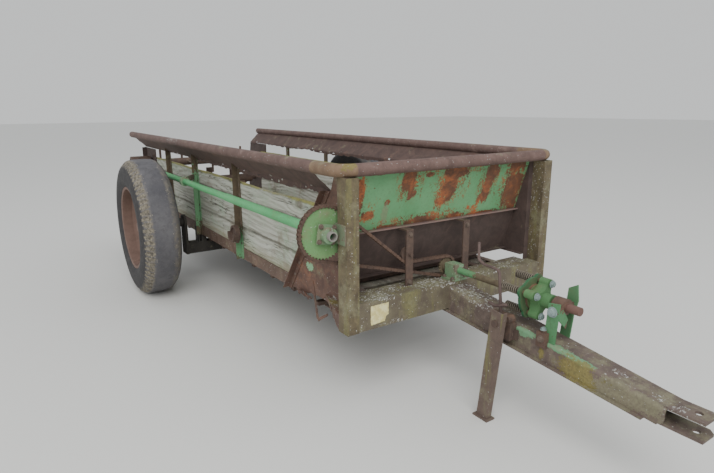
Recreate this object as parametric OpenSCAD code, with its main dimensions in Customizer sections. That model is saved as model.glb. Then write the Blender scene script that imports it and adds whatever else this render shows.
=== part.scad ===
/* [Box] */
// Half width over the sills and side boards
box_half = 600; // [560:1:630]
// Length of the top rail from the front posts to its rear end
rail_l = 4183; // [4100:1:4400]
// Height of the top rail's centre line
rail_z = 1175; // [1160:1:1200]
// Distance of the rail's centre line outside the box
rail_out = 117; // [115:1:130]
// Outer diameter of the rail pipe
rail_d = 60; // [56:1:62]
// Wall of the rail pipe
rail_wall = 5; // [3:0.5:8]
// Height of the bottom of the sills and the front beam
sill_z = 417; // [412:1:430]
// Height of a sill
sill_h = 80; // [75:1:90]
// Thickness of the side boards
board_t = 28; // [20:1:32]
// Thickness of the floor planks
floor_t = 25; // [20:1:28]
// Thickness of the sheet metal
sheet_t = 3; // [2:0.5:4]

/* [Front frame] */
// Width of a front post
post_w = 65; // [60:1:68]
// Depth of a front post
post_depth = 78; // [60:1:80]
// Thickness of rolled steel sections
steel_t = 5; // [4:0.5:6]
// Depth of the front beam
beam_depth = 150; // [140:1:155]
// Height of the front beam
beam_h = 139; // [136:1:142]

/* [Tongue] */
// Distance from the front posts to the tip of the clevis
tongue_l = 1242; // [1200:1:1300]
// Half width of the tongue's body
tongue_half = 70; // [66:1:74]
// Width of the lip beyond the body on each side
tongue_lip = 14; // [8:1:16]
// Distance from the clevis tip to the hitch hole
hitch_set = 45; // [40:1:50]
// Diameter of the hitch hole
hitch_d = 28; // [22:1:32]
// Gap between the clevis ears
ear_gap = 60; // [54:1:64]
// Thickness of the clevis ears
ear_t = 10; // [8:0.5:12]

/* [Drive] */
// Height of the driven stub and its shaft
pto_z = 610; // [605:1:615]
// Diameter of the stub
stub_d = 38; // [35:1:42]
// Diameter of the shaft behind the clutch
pto_shaft_d = 33; // [30:1:35]
// Height of the side shaft
side_z = 890; // [885:1:895]
// Distance of the side shaft outside the box
side_out = 154; // [152:1:158]
// Diameter of the side shaft's front tube
side_d = 50; // [48:1:52]
// Pitch of the drive chain
chain_pitch = 19.05; // [18:0.05:20]
// Teeth of the side sprocket
side_teeth = 42; // [40:1:43]
// Teeth of the small sprocket
pto_teeth = 18; // [17:1:19]
// Distance of the drive chain behind the front posts
chain_y = 108; // [107:1:109]

/* [Wheels] */
// Distance of the axle behind the front posts
axle_y = 2466; // [2300:1:2600]
// Radius of a tyre
tyre_r = 530; // [525:1:540]
// Distance of the wheels' middle planes outside the box
wheel_out = 414; // [410:1:440]
// Section width of a tyre
tyre_w = 290; // [280:1:295]
// Radius of the rim's flange
rim_r = 323; // [320:1:326]
// Diameter of the wheel spindles
spindle_d = 56; // [50:1:60]

/* [Beaters and apron] */
// Radius over the upper beater's teeth
upper_r = 135; // [125:1:140]
// Radius over the main beater's paddles
main_r = 150; // [140:1:155]
// Diameter of the beater shafts
beater_shaft_d = 44; // [40:1:48]
// Distance between apron slats
slat_pitch = 300; // [280:1:330]

/* [Jack] */
// Diameter of the jack leg's pivot pin
jack_pin_d = 20; // [16:1:22]

/* [Hidden] */

$fn = 48;
fit = 0.05;          // radial play of a shaft in its bore
seat = 0.3;          // gap where curved faces rest on each other

// Places along the length are counted from the front face of the front posts
rear_over = 70;      // the rear plates behind the rail's end
front_y = (tongue_l - rail_l - rear_over) / 2;

rail_half = box_half + rail_out;
side_x = box_half + side_out;
wheel_half = box_half + wheel_out;
rear_y = rail_l + rear_over;

rail_r = rail_d / 2;
elbow_r = 80;
elbow_end = 247;
sill_top = sill_z + sill_h;
post_x1 = rail_half - 18;
post_x0 = post_x1 - post_w;
post_top = rail_z - rail_r - seat;
beam_top = sill_z + beam_h;
fold_z = rail_z - 125;
floor_z = sill_top - 5;
floor_y0 = 330;
floor_y1 = rear_y - 593;
boards_rear = rear_y - 433;
rear_plate_y0 = rear_y - 533;
rear_plate_y1 = rear_y;

// The side boards' upper edges, from the lowest board up
board_tops = [645, 844, 959];
board_gap = 0.8;

// The slanted angle that closes the front end of the side boards
slant_top = rail_z - rail_r - 45;
slant_y = 256;
slant_run = 0.727;
function slant(z) = slant_y + (slant_top - z) * slant_run;

// The sloped front panel
panel_run = 0.3;
panel_top = rail_z - 35;
panel_y = 80;
ledge_z = 850;
panel_foot = 600;
function panel(z) = panel_y + (panel_top - z) * panel_run;

stake_y = [1485, 2380, 3170];
stake_w = 40;

// Sprockets and chain
roller_d = 11.9;
chain_w = 12.6;
link_h = 18;
plate_t = 2.4;
function pitch_r(teeth) = chain_pitch / (2 * sin(180 / teeth));
side_pitch_r = pitch_r(side_teeth);
pto_pitch_r = pitch_r(pto_teeth);
idler_pitch_r = 44;
idler_x = -270;
idler_z = 720;
tip_gap = 0.5;
loop_step = 5;

// Placing and simple solids

module placed() {
    translate([0, front_y, 0]) children();
}

module both_sides() {
    children();
    mirror([1, 0, 0]) children();
}

// A box between two corners, given as ranges along each axis
module block(x, y, z) {
    translate([x[0], y[0], z[0]]) cube([x[1] - x[0], y[1] - y[0], z[1] - z[0]]);
}

// An outline in the lengthwise upright plane, thick across the machine
module yz_plate(x, t) {
    translate([x, 0, 0]) rotate([90, 0, 90]) linear_extrude(t) children();
}

// An outline in the crosswise upright plane, thick along the machine
module xz_plate(y, t) {
    translate([0, y + t, 0]) rotate([90, 0, 0]) linear_extrude(t) children();
}

module rod_x(x, y, z, r) {
    translate([x[0], y, z]) rotate([0, 90, 0]) cylinder(r = r, h = x[1] - x[0]);
}

module rod_y(x, y, z, r) {
    translate([x, y[1], z]) rotate([90, 0, 0]) cylinder(r = r, h = y[1] - y[0]);
}

// A chain's loop round circles, each [centre, radius], the radius negative where
// the loop bends the other way

function norm_angle(a) = a - 360 * floor(a / 360);
function tangent(a, b) =
    let (d = b[0] - a[0])
    atan2(d[1], d[0]) - asin((b[1] - a[1]) / norm(d));
function tangents(c) = [for (i = [0 : len(c) - 1]) tangent(c[i], c[(i + 1) % len(c)])];
function on_circle(c, r, a) = c + r * [sin(a), -cos(a)];
function sweep(r, a, b) = r > 0 ? norm_angle(b - a) : -norm_angle(a - b);

function loop_outline(c, grow, step) =
    let (t = tangents(c), n = len(c))
    [for (i = [0 : n - 1])
        let (a = t[(i + n - 1) % n], s = sweep(c[i][1], a, t[i]), k = ceil(abs(s) / step))
        for (j = [0 : k]) on_circle(c[i][0], c[i][1] + grow, a + s * j / k)];

// Stretches of the loop: [length, start, start angle, turn, radius]
function loop_parts(c) =
    let (t = tangents(c), n = len(c))
    [for (i = [0 : n - 1])
        let (a = t[(i + n - 1) % n], r = c[i][1], s = sweep(r, a, t[i]),
            e = on_circle(c[i][0], r, t[i]), d = c[(i + 1) % n],
            f = on_circle(d[0], d[1], t[i]))
        for (part = [[abs(s * r) * PI / 180, c[i][0], a, s, r], [norm(f - e), e, t[i], 0, 0]])
            part];
function total(v, i = 0) = i == len(v) ? 0 : v[i][0] + total(v, i + 1);

// Place and heading at a distance along the loop
function loop_at(parts, s, i = 0) =
    s > parts[i][0] && i < len(parts) - 1 ? loop_at(parts, s - parts[i][0], i + 1) :
    let (p = parts[i], a = p[2] + p[3] * s / p[0])
    p[4] == 0 ? [p[1] + s * [cos(a), sin(a)], a] : [on_circle(p[1], p[4], a), a];

module loop_band(c, half) {
    difference() {
        polygon(loop_outline(c, half, loop_step));
        polygon(loop_outline(c, -half, loop_step));
    }
}

// Every second link of a chain, as blocks in the chain's plane
module loop_links(c, pitch, first, size) {
    parts = loop_parts(c);
    length = total(parts);
    count = 2 * round(length / pitch / 2);
    for (i = [first : 2 : count - 1]) {
        at = loop_at(parts, (i + 0.5) * length / count);
        translate(at[0]) rotate(at[1]) square(size, center = true);
    }
}

// A toothed disc whose tips stay inside the chain's rollers
module sprocket(teeth) {
    tip = pitch_r(teeth) - roller_d / 2 - tip_gap;
    root = tip - 7;
    points = [for (i = [0 : teeth - 1], k = [[0.25, root], [0.4, tip], [0.6, tip], [0.75, root]])
        let (a = (i + k[0]) * 360 / teeth) k[1] * [cos(a), sin(a)]];
    polygon(points);
}

// Box and underframe

module sill() {
    nose_z = sill_z + sill_h / 2;
    foot_y = slant(sill_z);
    yz_plate(-box_half, steel_t) polygon([
        [beam_depth, sill_top], [beam_depth, nose_z], [foot_y - 40, nose_z],
        [foot_y, sill_z], [rear_plate_y1 - 60, sill_z], [rear_plate_y1 - 60, sill_top]]);
    block([-box_half, -box_half + 40], [beam_depth, rear_plate_y1 - 60],
        [sill_top - steel_t, sill_top]);
    block([-box_half, -box_half + 40], [foot_y, rear_plate_y1 - 60], [sill_z, sill_z + steel_t]);
}

module sills() {
    placed() color("rosybrown") both_sides() sill();
}

beam_t = 6;

module front_beam() {
    notch_x = pto_pitch_r + link_h / 2 + 6;
    notch_y = chain_y - chain_w / 2 - 3 * plate_t;
    placed() color("darkkhaki") difference() {
        union() {
            block([-post_x0, post_x0], [0, post_depth], [sill_z, beam_top]);
            block([-box_half, box_half], [0, beam_depth], [sill_z, beam_top]);
        }
        block([-post_x1, post_x1], [beam_t, beam_depth + 1], [sill_z + beam_t, beam_top - beam_t]);
        // Room for the small sprocket and its chain
        block([-notch_x, notch_x], [notch_y, beam_depth + 1], [beam_top - beam_t - 1, beam_top + 1]);
    }
}

cross_w = 60;
cross_count = 7;
cross_step = (floor_y1 - floor_y0 - cross_w - 10) / (cross_count - 1);
cross_y = [for (i = [0 : cross_count - 1]) floor_y0 + i * cross_step];

module cross_member(y) {
    low = sill_z + steel_t;
    high = floor_z - floor_t;
    difference() {
        block([-box_half + steel_t, box_half - steel_t], [y, y + cross_w], [low, high]);
        block([-box_half, box_half], [y + steel_t, y + cross_w + 1], [low + steel_t, high - steel_t]);
    }
}

module cross_members() {
    placed() color("saddlebrown") for (y = cross_y) cross_member(y);
}

plank_count = 6;

module floor_boards() {
    half = box_half - 40;
    w = 2 * half / plank_count;
    placed() color("gray") for (i = [0 : plank_count - 1])
        block([-half + i * w, -half + (i + 1) * w - board_gap], [floor_y0, floor_y1],
            [floor_z - floor_t, floor_z]);
}

module front_posts() {
    placed() color("olivedrab") both_sides() difference() {
        block([-post_x1, -post_x0], [0, post_depth], [sill_z - 4, post_top]);
        block([-post_x1 + steel_t, -post_x0 - steel_t], [6, post_depth + 1],
            [sill_z - 5, post_top + 1]);
    }
}

module upper_panel() {
    half = box_half;
    lip = 26;
    foot = panel(ledge_z);
    placed() color("mediumseagreen") yz_plate(-half, 2 * half) polygon([
        [panel_y, panel_top], [panel_y + sheet_t, panel_top],
        [foot + sheet_t, ledge_z], [foot - lip, ledge_z], [foot - lip, ledge_z + 8],
        [foot - lip + sheet_t, ledge_z + 8], [foot - lip + sheet_t, ledge_z + sheet_t],
        [foot - 1, ledge_z + sheet_t]]);
}

module lower_panel() {
    half = box_half;
    lip = 38;
    top = ledge_z - seat;
    foot = panel(panel_foot);
    placed() color("#4a3a36") yz_plate(-half, 2 * half) polygon([
        [panel(top), top], [panel(top) + sheet_t, top], [foot + sheet_t, panel_foot],
        [foot - lip, panel_foot], [foot - lip, panel_foot + sheet_t],
        [foot - 1, panel_foot + sheet_t]]);
}

// The end sheets' lower edges from the rear to the front, as [place, height]
gusset_y = 345;
gusset_z = 500;
right_edge = [[690, 436], [640, 431], [600, 443], [560, 440], [520, 455], [486, 449], [430, 466],
    [388, 462], [gusset_y, gusset_z - sheet_t], [post_depth, gusset_z - sheet_t]];
left_edge = [[700, 440], [520, 520], [250, 590], [post_depth, 590]];

module end_sheet(edge) {
    top = rail_z - rail_r - 6;
    outer = box_half + sheet_t;
    low = fold_z - 6;
    leg_t = steel_t;
    yz_plate(-outer, sheet_t) polygon(concat(
        [[post_depth, top], [slant(slant_top), top], [slant(fold_z), fold_z],
            [slant(low), low], [slant(low) + stake_w / 2, low],
            [slant(sill_z) + stake_w / 2, sill_z + 8]], edge));
    // Front edge turned out to the post
    block([-post_x0 - leg_t, -box_half], [post_depth, post_depth + sheet_t], [beam_top, top]);
    // Slanted angle: one leg on the sheet, one leg standing out
    for (leg = [[0, stake_w, leg_t], [stake_w - leg_t, stake_w, stake_w]])
        yz_plate(-outer - leg[2], leg[2]) polygon([
            [slant(low) + leg[0], low], [slant(low) + leg[1], low],
            [slant(sill_z) + leg[1], sill_z], [slant(sill_z) + leg[0], sill_z]]);
}

// Gusset from the right post to the box: a level flange over a web with a rusted lower edge
gusset_low = [[post_depth - 1, 413], [150, 417], [176, 430], [205, 428], [232, 447], [262, 441],
    [300, 462], [gusset_y + 1, 468]];

module corner_gusset() {
    post = -post_x1;
    box = -box_half - sheet_t;
    lip = 12;
    translate([0, 0, gusset_z - sheet_t]) linear_extrude(sheet_t) polygon([
        [-box_half, post_depth], [post, post_depth], [post, post_depth + lip],
        [box - lip, gusset_y], [-box_half, gusset_y]]);
    difference() {
        translate([0, 0, sill_z - 10]) linear_extrude(gusset_z - 1 - sill_z + 10) polygon([
            [post + 3, post_depth], [post + 7, post_depth], [box, gusset_y - lip],
            [box, gusset_y], [box - 4, gusset_y]]);
        yz_plate(post - 1, post_x1) polygon(concat(gusset_low,
            [[gusset_y + 1, sill_z - 20], [post_depth - 1, sill_z - 20]]));
        for (hole = [[236, 466, 9], [262, 472, 6], [180, 452, 6]])
            rod_x([post - 1, -box_half], hole[0], hole[1], hole[2]);
    }
}

// Flat bar that hangs from the sheet, its lower end bent forwards
hung_bar = [[490, 530], [507, 530], [460, 330], [440, 316], [342, 380], [346, 392], [440, 338]];

module end_sheet_right() {
    slot_y = [chain_y - 20, chain_y + 20];
    placed() color("sienna") {
        difference() {
            end_sheet(right_edge);
            block([-box_half - sheet_t - 1, -box_half + 1], slot_y, [650, side_z + 150]);
        }
        corner_gusset();
        yz_plate(-box_half - 2 * sheet_t, sheet_t) polygon(hung_bar);
    }
}

module end_sheet_left() {
    placed() color("sienna") mirror([1, 0, 0]) {
        end_sheet(left_edge);
        // Lower edge turned in
        block([-box_half - sheet_t, -box_half + 30], [post_depth, 240], [590, 590 + sheet_t]);
    }
}

module side_boards() {
    for (i = [0 : len(board_tops) - 1]) {
        low = i == 0 ? sill_top : board_tops[i - 1] + board_gap;
        high = board_tops[i];
        yz_plate(-box_half, board_t) polygon([
            [slant(low), low], [boards_rear, low], [boards_rear, high], [slant(high), high]]);
    }
}

module side_boards_right() {
    placed() color("darkgray") side_boards();
}

module side_boards_left() {
    placed() color("darkgray") mirror([1, 0, 0]) side_boards();
}

module stake(y) {
    block([-box_half - steel_t, -box_half], [y, y + stake_w], [sill_z, fold_z - seat]);
    xz_plate(y + stake_w - steel_t, steel_t) polygon([
        [-box_half - steel_t, sill_z], [-box_half - stake_w, sill_z],
        [-box_half - stake_w, flare_at(stake_w) - 1], [-box_half - steel_t, flare_at(steel_t) - 1]]);
}

module stakes_right() {
    placed() color("seagreen") for (y = stake_y) stake(y);
}

module stakes_left() {
    placed() color("seagreen") mirror([1, 0, 0]) for (y = stake_y) stake(y);
}

// Height of the flared sheet's underside at a distance out from the box's side
function flare_at(out) =
    fold_z + out * (rail_z - rail_r + 2 - fold_z) / (rail_half - 12 - box_half);

// The rusted lower edge of the flared sheet: more is gone towards the rear
flare_foot = 54;
flare_sound = 800;
flare_loss = 0.045;
function flare_edge(y) =
    min(fold_z - 5, fold_z - flare_foot + max(0, y - flare_sound) * flare_loss
        + 7 * sin(y * 1.7) + 5 * sin(y * 4.3));

module flare() {
    y0 = slant(fold_z) + 4;
    y1 = rail_l - 30;
    x_out = rail_half - 12;
    z_out = rail_z - rail_r + 2;
    steps = 40;
    xz_plate(y0, y1 - y0) polygon([
        [-x_out, z_out], [-x_out + 4, z_out + 1], [-box_half + sheet_t, fold_z + 1],
        [-box_half + sheet_t, fold_z - 5], [-box_half, fold_z - 5], [-box_half, fold_z]]);
    yz_plate(-box_half, sheet_t) polygon(concat(
        [[y1, fold_z - 4], [y0, fold_z - 4]],
        [for (i = [0 : steps]) let (y = y0 + 44 + (y1 - y0 - 44) * i / steps) [y, flare_edge(y) - 3]]));
}

module flare_right() {
    placed() color("saddlebrown") flare();
}

module flare_left() {
    placed() color("saddlebrown") mirror([1, 0, 0]) flare();
}

// Rail

module rail_tube(length) {
    difference() {
        cylinder(r = rail_r, h = length);
        translate([0, 0, -1]) cylinder(r = rail_r - rail_wall, h = length + 2);
    }
}

module top_rail() {
    front_x = rail_half - elbow_r;
    cap_l = 8;
    placed() color("rosybrown") {
        translate([-front_x, rail_r, rail_z]) rotate([0, 90, 0]) rail_tube(2 * front_x);
        both_sides() {
            translate([-rail_half, rail_l - cap_l, rail_z]) rotate([90, 0, 0])
                rail_tube(rail_l - cap_l - elbow_end);
            rod_y(-rail_half, [rail_l - cap_l, rail_l], rail_z, rail_r);
        }
    }
}

module rail_elbows() {
    placed() color("tan") both_sides() {
        translate([-rail_half + elbow_r, rail_r + elbow_r, rail_z]) rotate([0, 0, 180])
            rotate_extrude(angle = 90) translate([elbow_r, 0]) difference() {
                circle(rail_r);
                circle(rail_r - rail_wall);
            }
        translate([-rail_half, elbow_end, rail_z]) rotate([90, 0, 0])
            rail_tube(elbow_end - rail_r - elbow_r);
    }
}

// Tongue: a channel with its opening down, a falling top and lips along its lower edges

tongue_top = 533;
tongue_fall = 0.13;
tongue_t = 6;
tongue_round = 16;
lip_top = 406;
lip_t = 8;
lip_end = -tongue_l + 200;
ear_half = 52;
ear_y = -tongue_l + 150;
web_end = ear_y - 24;
hitch_y = -tongue_l + hitch_set;
function top_at(y) = tongue_top + y * tongue_fall;
ear_top = top_at(ear_y);
ear_low = ear_top - ear_t - ear_gap;
lip_fall = (lip_top - ear_low) / -lip_end;
function lip_at(y) = lip_top + y * lip_fall;

// A channel's outline below its top, with rounded shoulders
module rounded_top(half, r, depth) {
    translate([-half, -depth]) square([2 * half, depth - r]);
    translate([-half + r, -depth]) square([2 * (half - r), depth]);
    for (side = [-1, 1]) translate([side * (half - r), -r]) circle(r);
}

module tongue_channel() {
    depth = 200;
    bend = 24;
    intersection() {
        translate([0, 0, tongue_top]) rotate([90 + atan(tongue_fall), 0, 0])
            linear_extrude(tongue_l) difference() {
                rounded_top(tongue_half, tongue_round, depth);
                translate([0, -tongue_t]) rounded_top(tongue_half - tongue_t, tongue_round - tongue_t, depth);
            }
        yz_plate(-tongue_half - 1, 2 * tongue_half + 2) polygon(concat(
            [[web_end, tongue_top], [0, tongue_top + 10], [0, lip_top - 1],
                [web_end + bend, lip_at(web_end + bend) - 1]],
            [for (a = [0 : 15 : 90])
                [web_end + bend * (1 - sin(a)), ear_low + bend * (1 - cos(a))]]));
    }
}

// One ear's outline from above, a corner cut off on the left
module ear_outline(root) {
    cut = 22;
    polygon([[-ear_half, root], [-ear_half, -tongue_l], [ear_half - cut, -tongue_l],
        [ear_half, -tongue_l + cut], [ear_half, root]]);
}

module tongue() {
    outer = tongue_half + tongue_lip;
    inner = tongue_half - tongue_t;
    placed() color("darkolivegreen") difference() {
        union() {
            tongue_channel();
            translate([0, 0, ear_top - ear_t]) linear_extrude(ear_t) ear_outline(ear_y);
            translate([0, 0, ear_low - ear_t]) linear_extrude(ear_t) ear_outline(lip_end);
            yz_plate(-outer, 2 * outer) polygon([
                [beam_depth, sill_z], [beam_depth, sill_z - lip_t], [0, lip_top - lip_t],
                [lip_end, ear_low - lip_t], [lip_end, ear_low], [0, lip_top], [20, sill_z]]);
        }
        yz_plate(-inner, 2 * inner) polygon([
            [-20, lip_at(-20) + 1], [-20, lip_at(-20) - 30], [lip_end + 60, ear_low - 30],
            [lip_end + 60, lip_at(lip_end + 60) + 1]]);
        translate([0, hitch_y, ear_low - ear_t - 5])
            cylinder(d = hitch_d, h = ear_gap + 2 * ear_t + 10);
    }
}

// Driven shaft on the tongue

block_y = [-648, -590];
stub_r = stub_d / 2;
journal_r = stub_r + 1;
stub_y = [-709, -653];
stub_groove = 4;
journal_end = -455;
stand_x = 62;

module pto_stand() {
    foot = tongue_top - 110;
    inner = stand_x - 8;
    placed() color("mediumseagreen") difference() {
        union() {
            yz_plate(-stand_x, 8) polygon([
                [-582, foot], [-596, pto_z + 18], [-651, pto_z + 27], [-637, foot]]);
            yz_plate(inner, 8) polygon([
                [-578, foot], [-603, pto_z + 27], [-606, pto_z + 68], [-648, pto_z + 92],
                [-657, pto_z + 20], [-641, pto_z - 48], [-628, foot]]);
            rod_y(0, [block_y[0] + 4, block_y[1]], pto_z, 36);
            block([-inner, inner], [block_y[0] + 8, block_y[1] - 4], [pto_z - 24, pto_z + 12]);
            // Bent strap before the bearing
            xz_plate(block_y[0], 5) polygon([
                [-inner, pto_z + 9], [-40, pto_z + 9], [8, pto_z - 54], [-2, pto_z - 97],
                [-inner, pto_z - 48]]);
            // Clamp over the tongue's edge
            block([-tongue_half - 14, -stand_x + 2], [-612, -562], [foot + 4, foot + 72]);
            block([-tongue_half - 8, -stand_x + 2], [-600, -574], [foot + 72, foot + 82]);
        }
        rod_y(0, [block_y[0] - 1, block_y[1] + 1], pto_z, journal_r + fit);
        yz_plate(-tongue_half, 2 * tongue_half) polygon([
            [0, tongue_top], [0, tongue_top - 200], [-tongue_l, top_at(-tongue_l) - 200],
            [-tongue_l, top_at(-tongue_l)]]);
    }
}

root_y = [-4, 86];

module root_bearing() {
    placed() color("darkseagreen") difference() {
        union() {
            block([-48, 48], root_y, [beam_top, beam_top + 10]);
            block([-30, 30], [root_y[0] + 6, root_y[1] - 6], [beam_top + 10, pto_z + 30]);
        }
        rod_y(0, [root_y[0] - 1, root_y[1] + 1], pto_z, pto_shaft_d / 2 + fit);
        rod_y(0, [root_y[0] + 18, root_y[1] - 18], pto_z, pto_shaft_d / 2 + 8);
    }
}

strap_x = [idler_x, 124];
strap_w = 45;
strap_y = [84, 92];

module panel_straps() {
    ledge_y = panel(ledge_z) - 26;
    idler_r = idler_pitch_r - roller_d / 2 - tip_gap;
    placed() color("saddlebrown") {
        for (x = strap_x) {
            block([x - strap_w / 2, x + strap_w / 2], strap_y, [beam_top, ledge_z]);
            block([x - strap_w / 2, x + strap_w / 2], [strap_y[0], ledge_y + 20],
                [ledge_z - 8, ledge_z]);
        }
        rod_y(idler_x, [chain_y - chain_w / 2 + 1, chain_y + chain_w / 2 - 1], idler_z, idler_r);
        rod_y(idler_x, [strap_y[0] - 18, chain_y], idler_z, 9);
    }
}

drive_loop = [
    [[0, pto_z], pto_pitch_r],
    [[idler_x, idler_z], -idler_pitch_r],
    [[-side_x, side_z], side_pitch_r]];

// Side plates outside the rollers, every second link standing further out
module link_plates(middle, outer, c) {
    t = (1 + outer) * plate_t;
    for (side = [-1, 1])
        xz_plate(middle + side * (chain_w + t) / 2 - t / 2, t)
            loop_links(c, chain_pitch, outer, [16, link_h - 2 + 2 * outer]);
}

module drive_chain() {
    placed() color("#5a3a2c") {
        xz_plate(chain_y - chain_w / 2, chain_w) loop_band(drive_loop, roller_d / 2);
        for (outer = [0, 1]) link_plates(chain_y, outer, drive_loop);
    }
}

module pto_shaft() {
    tail = chain_y + 30;
    placed() color("mediumseagreen") {
        rod_y(0, [journal_end, tail], pto_z, pto_shaft_d / 2);
        rod_y(0, [stub_y[1] + stub_groove, journal_end], pto_z, journal_r);
        rod_y(0, [stub_y[1], stub_y[1] + stub_groove], pto_z, stub_r - 2);
        rod_y(0, stub_y, pto_z, stub_r);
        translate([0, chain_y + 4, pto_z]) rotate([90, 0, 0]) linear_extrude(8)
            rotate(90) sprocket(pto_teeth);
        rod_y(0, [chain_y - 22, chain_y + 22], pto_z, 30);
    }
}

// Slip clutch: four spring bolts round the shaft, a pressed plate with the springs behind it,
// a friction disc and a cast hub with hollow sides
lobe_angles = [66, 156, 246, 336];
lobe_r = 76;
lobe_half = 20;
flange_y = [journal_end - 14, journal_end];
disc_l = 14;
casting_l = 48;
casting_waist = 44;
casting_y = [flange_y[0] - disc_l - casting_l, flange_y[0] - disc_l];

module plate_outline() {
    for (a = lobe_angles) rotate(a) translate([lobe_r, 0]) circle(lobe_half + 8);
    circle(lobe_r + 12);
}

module casting_outline() {
    corner = [lobe_r + 1, lobe_half - 0.5];
    along = (corner[0] + corner[1]) / sqrt(2);
    far = (corner * corner - casting_waist * casting_waist) / (2 * (along - casting_waist));
    difference() {
        union() {
            for (a = lobe_angles) rotate(a) translate([0, -lobe_half])
                square([lobe_r, 2 * lobe_half]);
            circle(lobe_r - 14);
        }
        for (a = lobe_angles) rotate(a + 45) translate([far, 0]) circle(far - casting_waist);
    }
    for (a = lobe_angles) rotate(a) translate([lobe_r, 0]) circle(lobe_half);
}

module slip_clutch() {
    placed() color("seagreen") difference() {
        union() {
            xz_plate(flange_y[0], flange_y[1] - flange_y[0]) translate([0, pto_z]) plate_outline();
            rod_y(0, [casting_y[1], flange_y[0]], pto_z, lobe_r - 18);
            xz_plate(casting_y[0], casting_l) translate([0, pto_z]) casting_outline();
            rod_y(0, [block_y[1] + 14, casting_y[0]], pto_z, 34);
            for (a = lobe_angles)
                rod_y(lobe_r * cos(a), [casting_y[0] - 8, flange_y[0]],
                    pto_z + lobe_r * sin(a), 11);
        }
        rod_y(0, [block_y[1] + 10, flange_y[1] + 1], pto_z, journal_r);
    }
}

spring_y = [journal_end + 104, journal_end];
spring_coils = 7;

module clutch_springs() {
    gap = (spring_y[0] - spring_y[1]) / spring_coils;
    placed() color("dimgray") for (a = lobe_angles)
        translate([lobe_r * cos(a), 0, pto_z + lobe_r * sin(a)]) {
            rod_y(0, [spring_y[1], spring_y[0] + 8], 0, 10);
            for (i = [0 : spring_coils - 1])
                translate([0, spring_y[0] - i * gap, 0]) rotate([90, 0, 0])
                    cylinder(r = 19, h = gap * 0.6);
        }
}

// Control rod and the hook across it, as [place, height]
rod_path = [[-237, 831], [-239.5, 760], [-252, 741], [-273, 732], [-352, 727], [-369, 710],
    [-395.5, 484]];
rod_bore_end = [-397.1, 470];
hook_path = [[-313, 559], [-334, 554], [-356, 553], [-422, 577]];
rod_at = -119;
rod_r = 7;
hook_r = 8;

function heading(p, q) = atan2(q[1] - p[1], q[0] - p[0]);
function half_turn(path, i) =
    i == 0 || i == len(path) - 1 ? 0 :
    let (t = heading(path[i], path[i + 1]) - heading(path[i - 1], path[i]))
    t / 2 - 180 * round(t / 360);
// Place beside a point of the path, on the plane that halves its turn
function beside(path, i, h, d) = path[i] + d / cos(half_turn(path, i)) * [-sin(h), cos(h)];

// A bar along points in the lengthwise upright plane, with mitred turns
module bent_bar(path, r, sides) {
    w = 3 * r;
    last = len(path) - 2;
    rotate([90, 0, 90]) for (i = [0 : last]) {
        h = heading(path[i], path[i + 1]);
        from = h - half_turn(path, i);
        to = h + half_turn(path, i + 1);
        before = i == 0 ? 0 : w;
        after = i == last ? 0 : w;
        intersection() {
            translate([path[i][0], path[i][1], 0]) rotate([0, 0, h]) translate([-before, 0, 0])
                rotate([0, 90, 0])
                    cylinder(r = r, h = norm(path[i + 1] - path[i]) + before + after, $fn = sides);
            translate([0, 0, -w]) linear_extrude(2 * w) polygon([
                beside(path, i, from, w), beside(path, i, from, -w),
                beside(path, i + 1, to, -w), beside(path, i + 1, to, w)]);
        }
    }
}

module control_rod() {
    placed() color("rosybrown") translate([rod_at, 0, 0]) {
        bent_bar(rod_path, rod_r, 12);
        bent_bar(hook_path, hook_r, 12);
    }
}

// Jack leg, leaning a little, hinged on the tongue's side
jack_y = -415;
jack_z = 500;
jack_foot_y = -362;
jack_x = [-180, -149];
jack_w = 64;
jack_lean = atan2(jack_foot_y - jack_y, jack_z);
jack_len = norm([jack_foot_y - jack_y, jack_z]);
jack_top = 58;
jack_pin_r = jack_pin_d / 2;

module jack_bracket() {
    web_z = top_at(jack_y);
    side = -tongue_half;
    placed() color("saddlebrown") difference() {
        union() {
            block([side - 44, side], [jack_y - 28, jack_y + 30], [lip_at(jack_y) + 36, web_z + 10]);
            block([side - 63, side], [jack_y + 3, jack_y + 75], [web_z - 40, web_z + 40]);
            block([side - 22, side], [jack_y - 44, jack_y + 50], [web_z - 66, web_z - 24]);
            rod_x([side - 44, side], jack_y, jack_z, jack_pin_r + 12);
            rod_x([jack_x[0] - 12, side - 20], jack_y, jack_z, jack_pin_r);
            rod_x([jack_x[0] - 12, jack_x[0] - 2], jack_y, jack_z, jack_pin_r + 6);
        }
        translate([rod_at, 0, 0]) bent_bar([rod_path[5], rod_bore_end], rod_r + fit, $fn);
    }
}

module jack_leg() {
    bore = jack_pin_r + fit;
    placed() color("darkkhaki") {
        difference() {
            translate([0, jack_y, jack_z]) rotate([jack_lean, 0, 0]) {
                block([jack_x[0], jack_x[0] + steel_t], [-jack_w / 2, jack_w / 2],
                    [-jack_len - 5, jack_top]);
                for (y = [-jack_w / 2, jack_w / 2 - steel_t])
                    block([jack_x[0], jack_x[1]], [y, y + steel_t], [-jack_len - 5, jack_top]);
                block([jack_x[1] - steel_t, jack_x[1]], [-jack_w / 2, jack_w / 2], [-40, 40]);
            }
            rod_x([jack_x[0] - 1, jack_x[1] + 1], jack_y, jack_z, bore);
            block([-300, 0], [-600, 0], [-50, 6]);
        }
        block([jack_x[0] - 12, jack_x[1] + 12], [jack_foot_y - 45, jack_foot_y + 45], [0, 8]);
    }
}

// Axle and wheels

axle_beam = [262, 352];
axle_plate_x = 715;
spindle_r = spindle_d / 2;
hub_in = 120;
hub_out = 76;

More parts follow.
